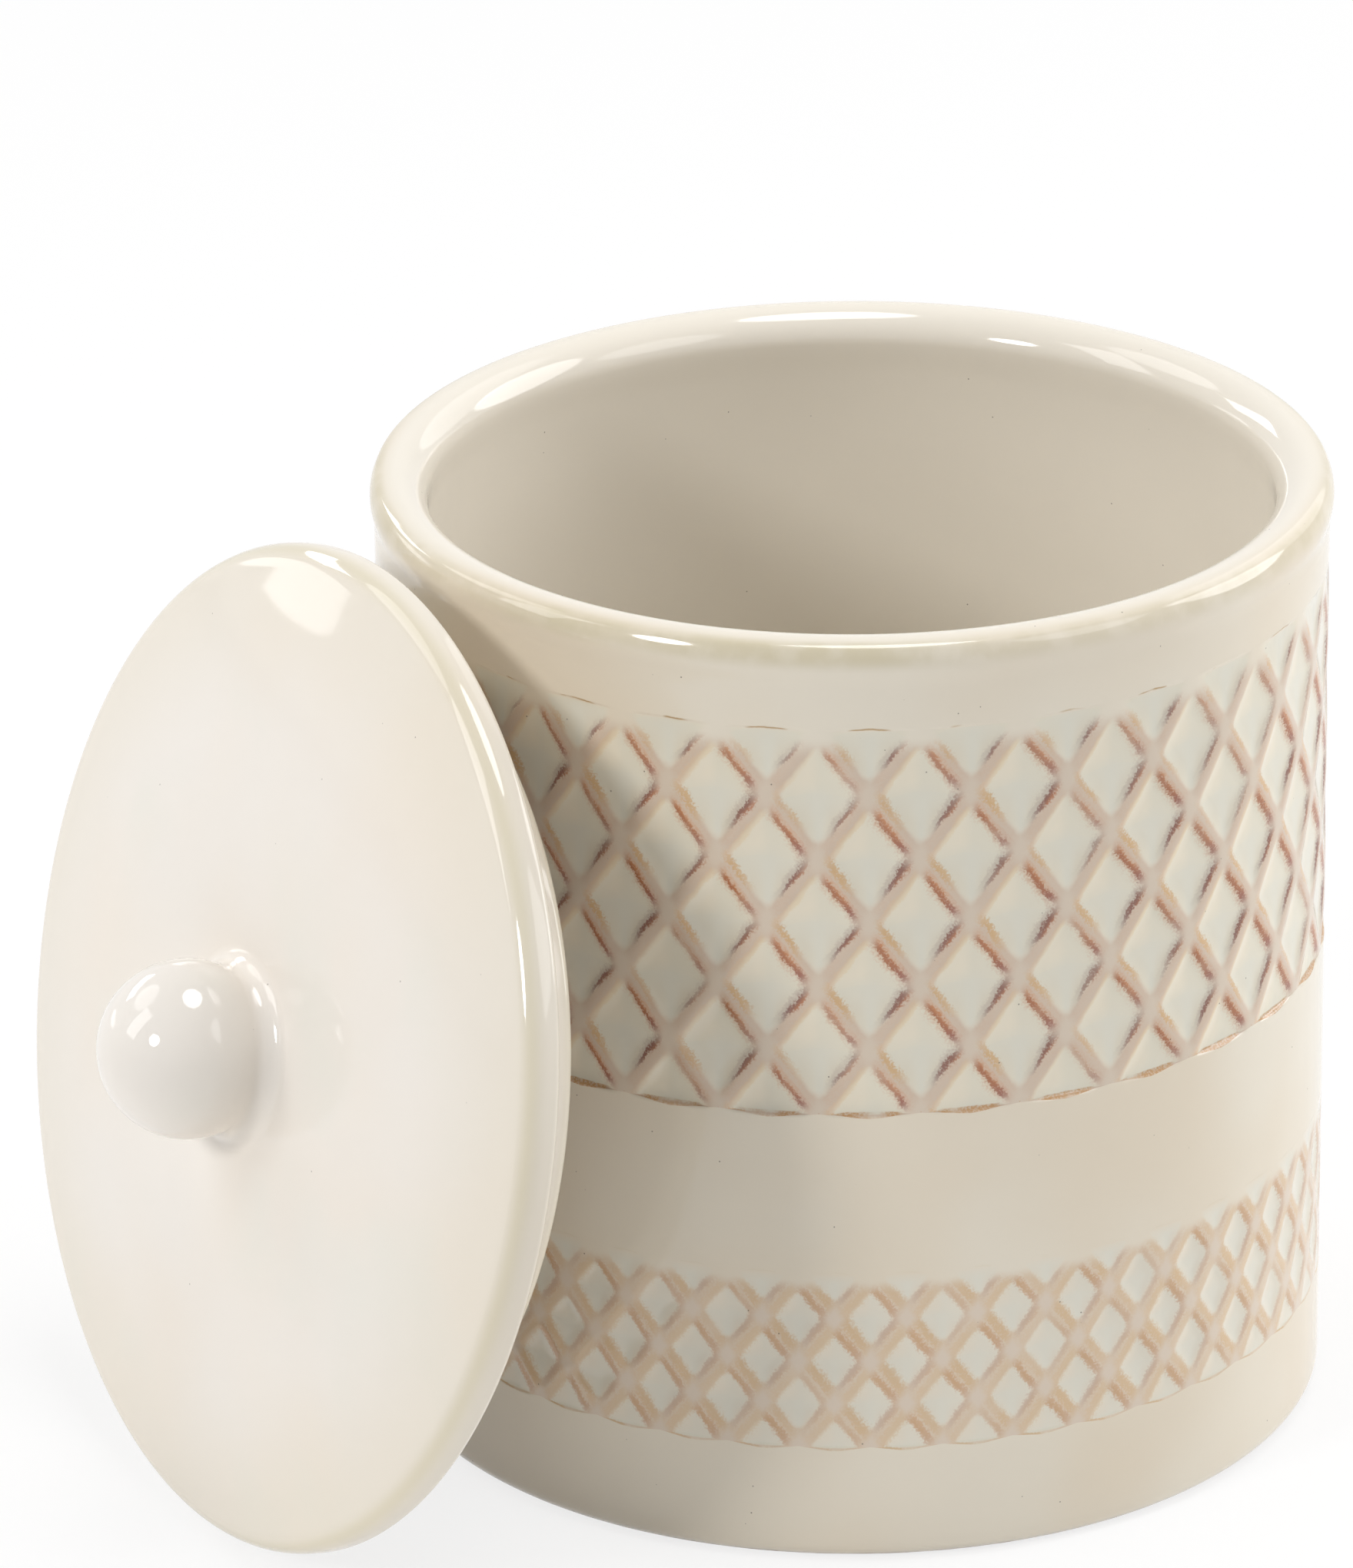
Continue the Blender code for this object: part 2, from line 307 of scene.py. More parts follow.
class Turning:
    """A mesh under way whose surface is turned round +Z ring by ring."""

    def __init__(self, steps: int) -> None:
        """Start an empty mesh whose turned rings have a number of steps."""
        self.bm = bmesh.new()
        self.steps = steps

    def ring(self, radius: float, height: float) -> Ring:
        """Add a ring of vertices, kept as (angle in radians, vertex) pairs in order."""
        angles = [math.tau * index / self.steps for index in range(self.steps)]
        return [(a, self.bm.verts.new((radius * math.cos(a), radius * math.sin(a), height))) for a in angles]

    def chain(self, rings: Sequence[Ring]) -> None:
        """Join each ring to the next, in their order along the outline."""
        for below, above in zip(rings, rings[1:]):
            join = self.band if len(below) == len(above) == self.steps else self.stitch
            join(below, above)

    def band(self, below: Ring, above: Ring) -> None:
        """Join two turned rings with four-sided faces."""
        for index in range(self.steps):
            after = (index + 1) % self.steps
            self.bm.faces.new((below[index][1], below[after][1], above[after][1], above[index][1]))

    def stitch(self, below: Ring, above: Ring) -> None:
        """Join two rings of unlike counts with triangles, stepping the one that is behind.

        Args:
            below: The ring that sets where the joining starts.
            above: The other ring.
        """
        origin = below[0][0]
        nearest = min(range(len(above)), key=lambda k: abs(self.between(origin, above[k][0])))
        above = above[nearest:] + above[:nearest]
        low_turns, high_turns = self.unwound(below, origin), self.unwound(above, origin)
        low = high = 0
        while low < len(below) or high < len(above):
            low_next = low_turns[low + 1] if low < len(below) else math.inf
            high_next = high_turns[high + 1] if high < len(above) else math.inf
            here, there = below[low % len(below)][1], above[high % len(above)][1]
            if low_next <= high_next:
                low += 1
                self.bm.faces.new((here, below[low % len(below)][1], there))
            else:
                high += 1
                self.bm.faces.new((here, above[high % len(above)][1], there))

    @staticmethod
    def between(first: float, second: float) -> float:
        """The signed turn from one angle to another, in radians, within half a turn."""
        return (second - first + math.pi) % math.tau - math.pi

    def unwound(self, ring: Ring, origin: float) -> list[float]:
        """The rising angles of a ring in radians, from near an origin, with the first again a turn on."""
        first = origin + self.between(origin, ring[0][0])
        return [first + (angle - ring[0][0]) % math.tau for angle, _ in ring] + [first + math.tau]

    def pole(self, height: float, ring: Ring) -> None:
        """Close a ring with triangles that meet on the axis, at a height."""
        centre = self.bm.verts.new((0, 0, height))
        for index in range(len(ring)):
            self.bm.faces.new((ring[index][1], ring[(index + 1) % len(ring)][1], centre))

    def turned(self, outline: Outline) -> None:
        """Turn a whole outline that starts and ends on the axis."""
        rings = [self.ring(r, z) for r, z in outline[1:-1]]
        self.chain(rings)
        self.pole(outline[0][1], rings[0])
        self.pole(outline[-1][1], rings[-1])

    def finished(self, name: str, material: bpy.types.Material, place: Matrix | None = None,
                 bend: Callable[[Vector], Vector] | None = None) -> bpy.types.Object:
        """Close the mesh up as one object at the origin.

        Args:
            name: The object's name.
            material: Its finish.
            place: Where the piece goes, put into its mesh.
            bend: What moves each vertex first, such as the waviness of thrown clay.

        Returns:
            The object.
        """
        bmesh.ops.remove_doubles(self.bm, verts=self.bm.verts, dist=MERGE_DISTANCE)
        bmesh.ops.recalc_face_normals(self.bm, faces=self.bm.faces)
        if bend is not None:
            for vert in self.bm.verts:
                vert.co = bend(vert.co)
        mesh = bpy.data.meshes.new(name)
        self.bm.to_mesh(mesh)
        self.bm.free()
        if place is not None:
            mesh.transform(place)
        mesh.shade_smooth()
        mesh.materials.clear()
        mesh.materials.append(material)
        return placed(name, mesh)


@dataclass(frozen=True)
class LatticeBand:
    """A band of sunk diamond pockets between crossing ribs.

    Places on it are counted in half columns round the jar and half rows up it. Pockets are centred where
    the two counts add up to an even number. The outermost pockets are cut short: beyond the last crossings
    their outer halves are pressed into a narrow margin, which ends at the plain wall.
    """

    name: str
    wall_radius: float
    foot: float
    rise: float
    columns: int
    rows: int
    turn: float
    rib_width: float
    margin: float = 0.0006
    depth: float = 0.0005
    slope: float = 0.0011
    head_fade: float = 0.6
    foot_fade: float = 0.0
    corner_round: float = 0.25

    @property
    def half_column(self) -> float:
        """The length of half a column round the wall."""
        return math.pi * self.wall_radius / self.columns

    @property
    def half_row(self) -> float:
        """The height of half a row."""
        return self.rise / self.rows

    @property
    def start_angle(self) -> float:
        """The angle of the first pocket's centre, in radians."""
        return math.radians(self.turn)

    @property
    def head(self) -> float:
        """The height of the topmost crossings."""
        return self.foot + self.rise

    @property
    def low_border(self) -> float:
        """The height at which the plain wall below the band ends."""
        return self.foot - self.margin

    @property
    def high_border(self) -> float:
        """The height at which the plain wall above the band starts."""
        return self.head + self.margin

    @property
    def spacing(self) -> float:
        """The distance between neighbouring ribs."""
        return 2 * self.half_column * self.half_row / math.hypot(self.half_column, self.half_row)

    @property
    def edge_share(self) -> float:
        """Where a pocket's edge is, from 0 at its centre to 1 on the ribs' middle lines."""
        return 1 - self.rib_width / self.spacing

    @property
    def floor_share(self) -> float:
        """Where a pocket's steep side ends, on the same count."""
        return self.edge_share - 2 * self.slope / self.spacing


class LatticeTree:
    """The Geometry Nodes tree that lays one tile at each place of a band and wraps them round the wall.

    Each of its number inputs has the name of the band's field or property that fills it.
    """

    SIZES = ("wall_radius", "foot", "half_column", "half_row", "margin", "start_angle", "depth",
             "floor_share", "edge_share", "corner_round", "head_fade", "foot_fade")
    COUNTS = ("columns", "rows")
    TILE_LINES = 9
    DROP_SHARES = (0.12, 0.18, 0.56, 0.14)
    FLOOR_END_SHARE = 0.78
    RIB_TOP_SHARE = 0.04
    LEDGE_REACH = (0.8, 0.1)
    FADE_REACH = (0.75, 0.0)
    BORDER_START = 0.001

    def __init__(self) -> None:
        """Write the tree."""
        self.tree = bpy.data.node_groups.new("lattice band", "GeometryNodeTree")
        self.sheet = NodeSheet(self.tree)
        self.keys: dict[str, str] = {}
        for kind, names in (("Float", self.SIZES), ("Int", self.COUNTS), ("Material", ("glaze",))):
            for name in names:
                socket = self.tree.interface.new_socket(name, in_out="INPUT", socket_type="NodeSocket" + kind)
                self.keys[name] = socket.identifier
        self.tree.interface.new_socket("band", in_out="OUTPUT", socket_type="NodeSocketGeometry")
        given = self.sheet.node("NodeGroupInput").outputs
        wires = {name: self.sheet.wire(given[name]) for name in self.SIZES + self.COUNTS}
        self.size = SimpleNamespace(**wires)
        self.finish(self.wrapped(self.laid(self.tile())), given["glaze"])

    def position(self) -> tuple[Wire, Wire, Wire]:
        """The place of each vertex, point or face, as three numbers."""
        return self.sheet.parts(self.sheet.node("GeometryNodeInputPosition").outputs[0])

    def moved(self, geometry: bpy.types.NodeSocket, place: bpy.types.NodeSocket) -> bpy.types.NodeSocket:
        """Put each vertex at a place."""
        sockets = {"Geometry": geometry, "Position": place}
        return self.sheet.node("GeometryNodeSetPosition", sockets=sockets).outputs[0]

    def tile(self) -> bpy.types.NodeSocket:
        """Make one diamond tile, flat and counted from its centre, with its depth as its height.

        The square grid is turned onto its corner, and its lines close up where the pocket's sides are
        steep.

        Returns:
            The tile's mesh.
        """
        sheet, size = self.sheet, self.size
        sockets = {"Size X": 2.0, "Size Y": 2.0, "Vertices X": self.TILE_LINES, "Vertices Y": self.TILE_LINES}
        grid = sheet.node("GeometryNodeMeshGrid", sockets=sockets)
        first, second, _ = self.position()
        stops = self.stops()
        steps = [stops[0], stops[1] - stops[0], stops[2] - stops[1], 1.0 - stops[2]]
        near, far = (self.counted(number, steps) for number in (first, second))
        across = (near - far) * 0.5 * size.half_column
        up = (near + far) * 0.5 * size.half_row
        return self.moved(grid.outputs[0], sheet.vector(across, up, self.sunk(abs(near), abs(far))))

    def stops(self) -> list[Wire]:
        """Where a pocket's slope changes, as shares from its centre to the ribs' middle lines."""
        floor, edge = self.size.floor_share, self.size.edge_share
        return [floor * self.FLOOR_END_SHARE, (floor + edge) * 0.5, edge + self.RIB_TOP_SHARE]

    def sunk(self, one: Wire, other: Wire) -> Wire:
        """Work out how deep the pocket is.

        Args:
            one: The share from the centre towards one pair of ribs.
            other: The share towards the other pair.

        Returns:
            The depth under the ribs' middle lines.
        """
        outmost = one.most_softly(other, self.size.corner_round).least(1.0)
        raised, before = 0.0, 0.0
        for share, stop in zip(self.DROP_SHARES, [*self.stops(), 1.0]):
            raised = ((outmost - before) / (stop - before)).held() * share + raised
            before = stop
        return (1.0 - raised) * self.size.depth

    def counted(self, number: Wire, steps: Sequence[Wire]) -> Wire:
        """Move an even grid line to its own place, the same on both sides of the centre.

        Args:
            number: The even place, from -1 to 1.
            steps: How far apart the lines' own places are, from the centre out.

        Returns:
            The line's own place.
        """
        passed = abs(number) * len(steps)
        place = steps[0] * passed.held()
        for index in range(1, len(steps)):
            place = place + steps[index] * (passed - index).held()
        return place * number.maths("SIGN", number)

    def laid(self, tile: bpy.types.NodeSocket) -> bpy.types.NodeSocket:
        """Lay a tile at each place of the band, with flat ones beyond its pockets.

        Args:
            tile: The tile's mesh.

        Returns:
            The whole band, unrolled.
        """
        sheet, size = self.sheet, self.size
        index = sheet.wire(sheet.node("GeometryNodeInputIndex").outputs[0])
        row = index.maths("FLOOR", index / size.columns) - 1.0
        across = (index % size.columns) * 2.0 + (row + 2.0) % 2.0
        place = sheet.vector(across * size.half_column, row * size.half_row, 0.0)
        count = size.columns * (size.rows + 3.0)
        points = sheet.node("GeometryNodePoints", sockets={"Count": count, "Position": place})
        height = self.position()[1] / size.half_row
        sunk = (height > -0.5) * (height < size.rows + 0.5)
        sockets = {"Points": points.outputs[0], "Instance": tile, "Scale": sheet.vector(1.0, 1.0, sunk)}
        tiles = sheet.node("GeometryNodeInstanceOnPoints", sockets=sockets)
        whole = sheet.node("GeometryNodeRealizeInstances", sockets={"Geometry": tiles.outputs[0]})
        level = self.position()[1] / size.half_row
        outside = (level < -1.0).most(level > size.rows + 1.0)
        sockets = {"Geometry": whole.outputs[0], "Selection": outside}
        return sheet.node("GeometryNodeDeleteGeometry", {"domain": "FACE"}, sockets).outputs[0]

    def wrapped(self, band: bpy.types.NodeSocket) -> bpy.types.NodeSocket:
        """Wrap the unrolled band round the wall and close it.

        Args:
            band: The unrolled band.

        Returns:
            The band on the wall.
        """
        sheet, size = self.sheet, self.size
        across, up, depth = self.position()
        rise = size.half_row * size.rows
        inside = up.most(0.0).least(rise)
        beyond = ((up - inside) / size.half_row).least(1.0).most(-1.0)
        outside = abs(beyond) > self.BORDER_START
        pair = (across / size.half_column + inside / size.half_row) * 0.5
        off_centre = abs(pair - pair.rounded()) * 2.0
        ledge = self.sunk(off_centre, off_centre) * abs(beyond).eased(*self.LEDGE_REACH)
        depth = depth * (1.0 - outside) + ledge * outside
        turn = size.start_angle + across / size.wall_radius
        filled = (size.head_fade * ((rise - inside) / size.half_row).eased(*self.FADE_REACH)
                  + size.foot_fade * (inside / size.half_row).eased(*self.FADE_REACH))
        radius = size.wall_radius - depth * (1.0 - filled)
        place = sheet.vector(radius * turn.maths("COSINE", turn), radius * turn.maths("SINE", turn),
                             size.foot + inside + beyond * size.margin)
        sockets = {"Geometry": self.moved(band, place), "Distance": MERGE_DISTANCE}
        return sheet.node("GeometryNodeMergeByDistance", sockets=sockets).outputs[0]

    def finish(self, band: bpy.types.NodeSocket, glaze: bpy.types.NodeSocket) -> None:
        """End the tree: the band as plain geometry, smooth, in the glaze of the material input."""
        sheet = self.sheet
        smooth = sheet.node("GeometryNodeSetShadeSmooth", sockets={"Geometry": band})
        plain = sheet.node("GeometryNodeRealizeInstances", sockets={"Geometry": smooth.outputs[0]})
        sockets = {"Geometry": plain.outputs[0], "Material": glaze}
        glazed = sheet.node("GeometryNodeSetMaterial", sockets=sockets)
        sheet.node("NodeGroupOutput", sockets={0: glazed.outputs[0]})

    def grown(self, band: LatticeBand, glaze: bpy.types.Material) -> bpy.types.Mesh:
        """Run the tree for one band.

        Args:
            band: The band.
            glaze: Its material.

        Returns:
            The band as a plain mesh, open at its foot and head.
        """
        seed = placed(band.name, bpy.data.meshes.new(band.name))
        modifier = seed.modifiers.new("lattice", "NODES")
        modifier.node_group = self.tree
        for name in self.SIZES + self.COUNTS:
            modifier[self.keys[name]] = getattr(band, name)
        modifier[self.keys["glaze"]] = glaze
        ready = seed.evaluated_get(bpy.context.evaluated_depsgraph_get())
        made = bpy.data.meshes.new_from_object(ready)
        seed.modifiers.remove(modifier)
        bpy.data.objects.remove(seed, do_unlink=True)
        return made


@dataclass(frozen=True)
class FiredLine:
    """A powdery line of colour that the fire leaves along one side of each pocket.

    Places are shares of the distance between neighbouring ribs. Across the line they are counted from the
    pocket's edge, towards the rib. Along it they run from 0.5 at the side's upper end to -0.5 at its lower
    one, or from the side corner down for the two lower sides.
    """

    side: Side
    colour: Colour
    rib_colour: Colour
    tail_colour: Colour
    strength: float
    offset: float
    width: float
    start: float
    end: float
    ease: float = 0.10
    taper: float = 1.0
    grit: float = 0.55
    top_row: float = 1.0
    bottom_row: float = 1.0


@dataclass(frozen=True)
class LatticeMarks:
    """How the fired glaze is coloured over one lattice band, with the painted light, shade and reflection in
    its pockets.
    """

    rib: Colour
    crossing: Colour
    smear: Colour
    smear_share: float
    pool: Colour
    # light and shade are painted light and painted shade on the faces of a pocket; cool also paints a
    # reflection across it.
    light: Colour
    shade: Colour
    cool: Colour
    head_line: Colour
    head_line_share: float
    foot_line: Colour
    foot_line_share: float
    lines: tuple[FiredLine, ...]
    corner_cut: float = 0.0
    pool_head: Span = (0.3, -0.15)


UPPER_MARKS = LatticeMarks(
    rib=pigment(213, 196, 178),
    crossing=pigment(217, 202, 184),
    smear=pigment(212, 178, 150),
    smear_share=0.3,
    pool=pigment(228, 222, 204),
    light=pigment(235, 226, 206),
    shade=pigment(220, 211, 192),
    cool=pigment(224, 221, 207),
    head_line=pigment(180, 144, 90),
    head_line_share=0.9,
    foot_line=pigment(194, 144, 86),
    foot_line_share=0.85,
    lines=(
        FiredLine(Side.UPPER_LEFT, pigment(228, 204, 162), pigment(226, 198, 160), pigment(226, 198, 170),
                  strength=0.45, offset=0.010, width=0.045, start=0.34, end=-0.42,
                  ease=0.06, grit=0.4),
        FiredLine(Side.LOWER_LEFT, pigment(210, 168, 112), pigment(214, 177, 130), pigment(212, 180, 140),
                  strength=0.75, offset=0.020, width=0.058, start=0.40, end=-0.06,
                  ease=0.14, grit=1.0),
        FiredLine(Side.LOWER_RIGHT, pigment(184, 166, 154), pigment(196, 164, 146), pigment(194, 188, 176),
                  strength=0.5, offset=-0.016, width=0.085, start=0.36, end=-0.20,
                  ease=0.16, grit=0.5, taper=0.6, bottom_row=0.0),
        FiredLine(Side.LOWER_RIGHT, pigment(132, 78, 64), pigment(184, 116, 76), pigment(142, 110, 104),
                  strength=0.85, offset=0.010, width=0.055, start=0.34, end=-0.10,
                  ease=0.12, grit=0.9, taper=0.5, bottom_row=0.0),
        FiredLine(Side.UPPER_RIGHT, pigment(210, 164, 130), pigment(214, 172, 140), pigment(204, 164, 146),
                  strength=0.5, offset=0.018, width=0.105, start=0.34, end=-0.33,
                  ease=0.12, grit=0.6, top_row=0.85),
        FiredLine(Side.UPPER_RIGHT, pigment(168, 99, 60), pigment(198, 132, 84), pigment(146, 88, 82),
                  strength=0.88, offset=0.012, width=0.050, start=0.30, end=-0.30,
                  ease=0.09, grit=0.9, top_row=0.85),
    ),
)

LOWER_MARKS = LatticeMarks(
    rib=pigment(222, 206, 187),
    crossing=pigment(222, 207, 190),
    smear=pigment(218, 193, 162),
    smear_share=0.55,
    pool=pigment(228, 222, 207),
    light=pigment(231, 222, 205),
    shade=pigment(226, 216, 199),
    cool=pigment(226, 223, 210),
    head_line=pigment(206, 190, 150),
    head_line_share=0.1,
    foot_line=pigment(192, 180, 136),
    foot_line_share=0.12,
    lines=(
        FiredLine(Side.UPPER_LEFT, pigment(218, 190, 150), pigment(220, 192, 156), pigment(222, 194, 160),
                  strength=0.5, offset=0.070, width=0.115, start=0.33, end=-0.33,
                  ease=0.12, grit=0.7),
        FiredLine(Side.LOWER_LEFT, pigment(212, 178, 132), pigment(216, 184, 144), pigment(214, 180, 136),
                  strength=0.6, offset=0.075, width=0.115, start=0.31, end=-0.31,
                  ease=0.12, grit=0.8),
        FiredLine(Side.LOWER_RIGHT, pigment(196, 164, 144), pigment(208, 172, 138), pigment(204, 184, 170),
                  strength=0.55, offset=0.055, width=0.090, start=0.33, end=-0.24,
                  ease=0.12, grit=0.7, taper=0.7, bottom_row=0.1),
        FiredLine(Side.UPPER_RIGHT, pigment(200, 152, 106), pigment(208, 168, 128), pigment(198, 156, 128),
                  strength=0.65, offset=0.055, width=0.090, start=0.31, end=-0.31,
                  ease=0.12, grit=0.8),
    ),
    corner_cut=1.13,
    pool_head=(0.10, -0.25),
)


class Glaze:
    """The ground of a fired glaze: a node sheet with the Principled shader and the object's coordinates."""

    INDEX_OF_REFRACTION = 1.5
    PIT_CORE_SHARE = 0.45

    def __init__(self, name: str) -> None:
        """Start a material of a name."""
        self.material = bpy.data.materials.new(name)
        self.material.use_nodes = True
        self.sheet = NodeSheet(self.material.node_tree)
        self.shader = self.material.node_tree.nodes["Principled BSDF"]
        self.place = self.sheet.node("ShaderNodeTexCoord").outputs["Object"]

    def mottle(self, grain: float, detail: float = 2.0, roughness: float = 0.5) -> Wire:
        """Noise on the object's coordinates, mostly between 0.3 and 0.7.

        Args:
            grain: The rough size of its patches.
            detail: How many finer layers it has.
            roughness: How strong these are.

        Returns:
            The noise.
        """
        sockets = {"Vector": self.place, "Scale": 1 / grain, "Detail": detail, "Roughness": roughness}
        return self.sheet.wire(self.sheet.node("ShaderNodeTexNoise", sockets=sockets).outputs[0])

    def pinholes(self, cell: float, radius: float, kept: float) -> Wire:
        """Sparse tiny pits, each dark.

        Args:
            cell: The size of the cells that hold one pit each.
            radius: A pit's largest radius.
            kept: The share of cells whose pit shows.

        Returns:
            One in the pits and zero elsewhere.
        """
        cells = self.sheet.node("ShaderNodeTexVoronoi", sockets={"Vector": self.place, "Scale": 1 / cell})
        chance = self.sheet.node("ShaderNodeSeparateColor", sockets={0: cells.outputs["Color"]}).outputs[0]
        edge = radius / cell
        pit = self.sheet.wire(cells.outputs["Distance"]).eased(edge, edge * self.PIT_CORE_SHARE)
        return pit * (self.sheet.wire(chance) < kept)

    def ripple(self, grain: float, height: float) -> bpy.types.NodeSocket:
        """The normal of a glossy glaze's slow unevenness, by its swells' size and height."""
        sockets = {"Strength": 1.0, "Distance": height, "Height": self.mottle(grain, 1.0)}
        return self.sheet.node("ShaderNodeBump", sockets=sockets).outputs[0]

    def dress(self, colour: Any, roughness: Any, normal: bpy.types.NodeSocket) -> bpy.types.Material:
        """Link the finished colour, roughness and normal to the shader.

        Args:
            colour: The base colour.
            roughness: The roughness, a number or wire.
            normal: The normal.

        Returns:
            The material.
        """
        for name, value in (("Base Color", colour), ("Roughness", roughness), ("Normal", normal)):
            self.sheet.feed(self.shader.inputs[name], value)
        self.shader.inputs["IOR"].default_value = self.INDEX_OF_REFRACTION
        return self.material


@dataclass(frozen=True)
class JarFinish:
    """Cream glaze on the jar, with its lattice marks and the painted light, shade and reflection in their
    pockets, khaki lip edge and bare foot, and a lighter cream inside as painted light.

    A depth is counted inwards from the outer wall, and a drop down from the lip's top.
    """

    cream: Colour = pigment(231, 223, 207)
    warm: Colour = pigment(228, 216, 196)
    # inside: painted light, a lighter cream on the lip's inner side and the inner wall that keeps the shaded
    # mouth bright.
    inside: Colour = pigment(233, 226, 213)
    khaki: Colour = pigment(205, 194, 164)
    clay: Colour = pigment(150, 112, 80)
    scorch: Colour = pigment(112, 78, 50)
    pit: Colour = pigment(96, 84, 74)
    gloss: float = 0.07
    bare_roughness: float = 0.75
    broad_grain: float = 0.035
    warm_reach: Span = (0.35, 0.68)
    inside_depths: Span = (0.0004, 0.0028)
    band_depth: float = 0.002
    edge_drops: Span = (0.0036, 0.0016)
    edge_depths: Span = (0.0016, 0.0002)
    khaki_least: float = 0.15
    fine_patch: float = 0.004
    fine_reach: Span = (0.3, 0.6)
    fine_share: float = 0.3
    broad_patch: float = 0.022
    broad_reach: Span = (0.4, 0.6)
    broad_share: float = 0.35
    pit_cell: float = 0.0026
    pit_radius: float = 0.00013
    pits_kept: float = 0.35
    pit_share: float = 0.75
    ragged_grain: float = 0.003
    ragged_rise: float = 0.0006
    bare_heights: Span = (0.0006, 0.0004)
    grit_grain: float = 0.0008
    grit_reach: Span = (0.3, 0.7)
    swell_grain: float = 0.012
    swell_height: float = 0.00006

    def material(self, jar: "Jar") -> bpy.types.Material:
        """Write the material for a jar.

        Args:
            jar: The jar, whose sizes place the marks.

        Returns:
            The material.
        """
        glaze = Glaze("jar_glaze_look")
        sheet = glaze.sheet
        x, y, z = sheet.parts(glaze.place)
        radius = axis_distance(x, y)
        colour = sheet.blend(glaze.mottle(self.broad_grain).eased(*self.warm_reach), self.cream, self.warm)
        # Painted light: the lip's inner side and the inner wall take the lighter inside cream.
        inner = radius.eased(*(jar.wall_radius - depth for depth in self.inside_depths))
        colour = sheet.blend(inner, colour, self.inside)
        angle = x.maths("ARCTAN2", y, x)
        for band, marks in ((jar.lower, LOWER_MARKS), (jar.upper, UPPER_MARKS)):
            outside = (radius > band.wall_radius - self.band_depth) * (z > 0.0)
            colour = BandPaint(glaze, band, marks, angle, z, outside).over(colour)
        edge = z.eased(*(jar.height - drop for drop in self.edge_drops))
        edge = edge * radius.eased(*(jar.wall_radius - depth for depth in self.edge_depths))
        fine = glaze.mottle(self.fine_patch, 3.0).eased(*self.fine_reach) * self.fine_share
        broad = glaze.mottle(self.broad_patch, 1.0).eased(*self.broad_reach) * self.broad_share
        colour = sheet.blend(edge * (fine + broad + self.khaki_least), colour, self.khaki)
        pits = glaze.pinholes(self.pit_cell, self.pit_radius, self.pits_kept)
        colour = sheet.blend(pits * self.pit_share, colour, self.pit)
        ragged = z + (glaze.mottle(self.ragged_grain, 3.0) - 0.5) * self.ragged_rise
        bare = ragged.eased(*self.bare_heights)
        grit = glaze.mottle(self.grit_grain, 4.0, 0.7).eased(*self.grit_reach)
        colour = sheet.blend(bare, colour, sheet.blend(grit, self.clay, self.scorch))
        roughness = self.gloss + bare * (self.bare_roughness - self.gloss)
        return glaze.dress(colour, roughness, glaze.ripple(self.swell_grain, self.swell_height))


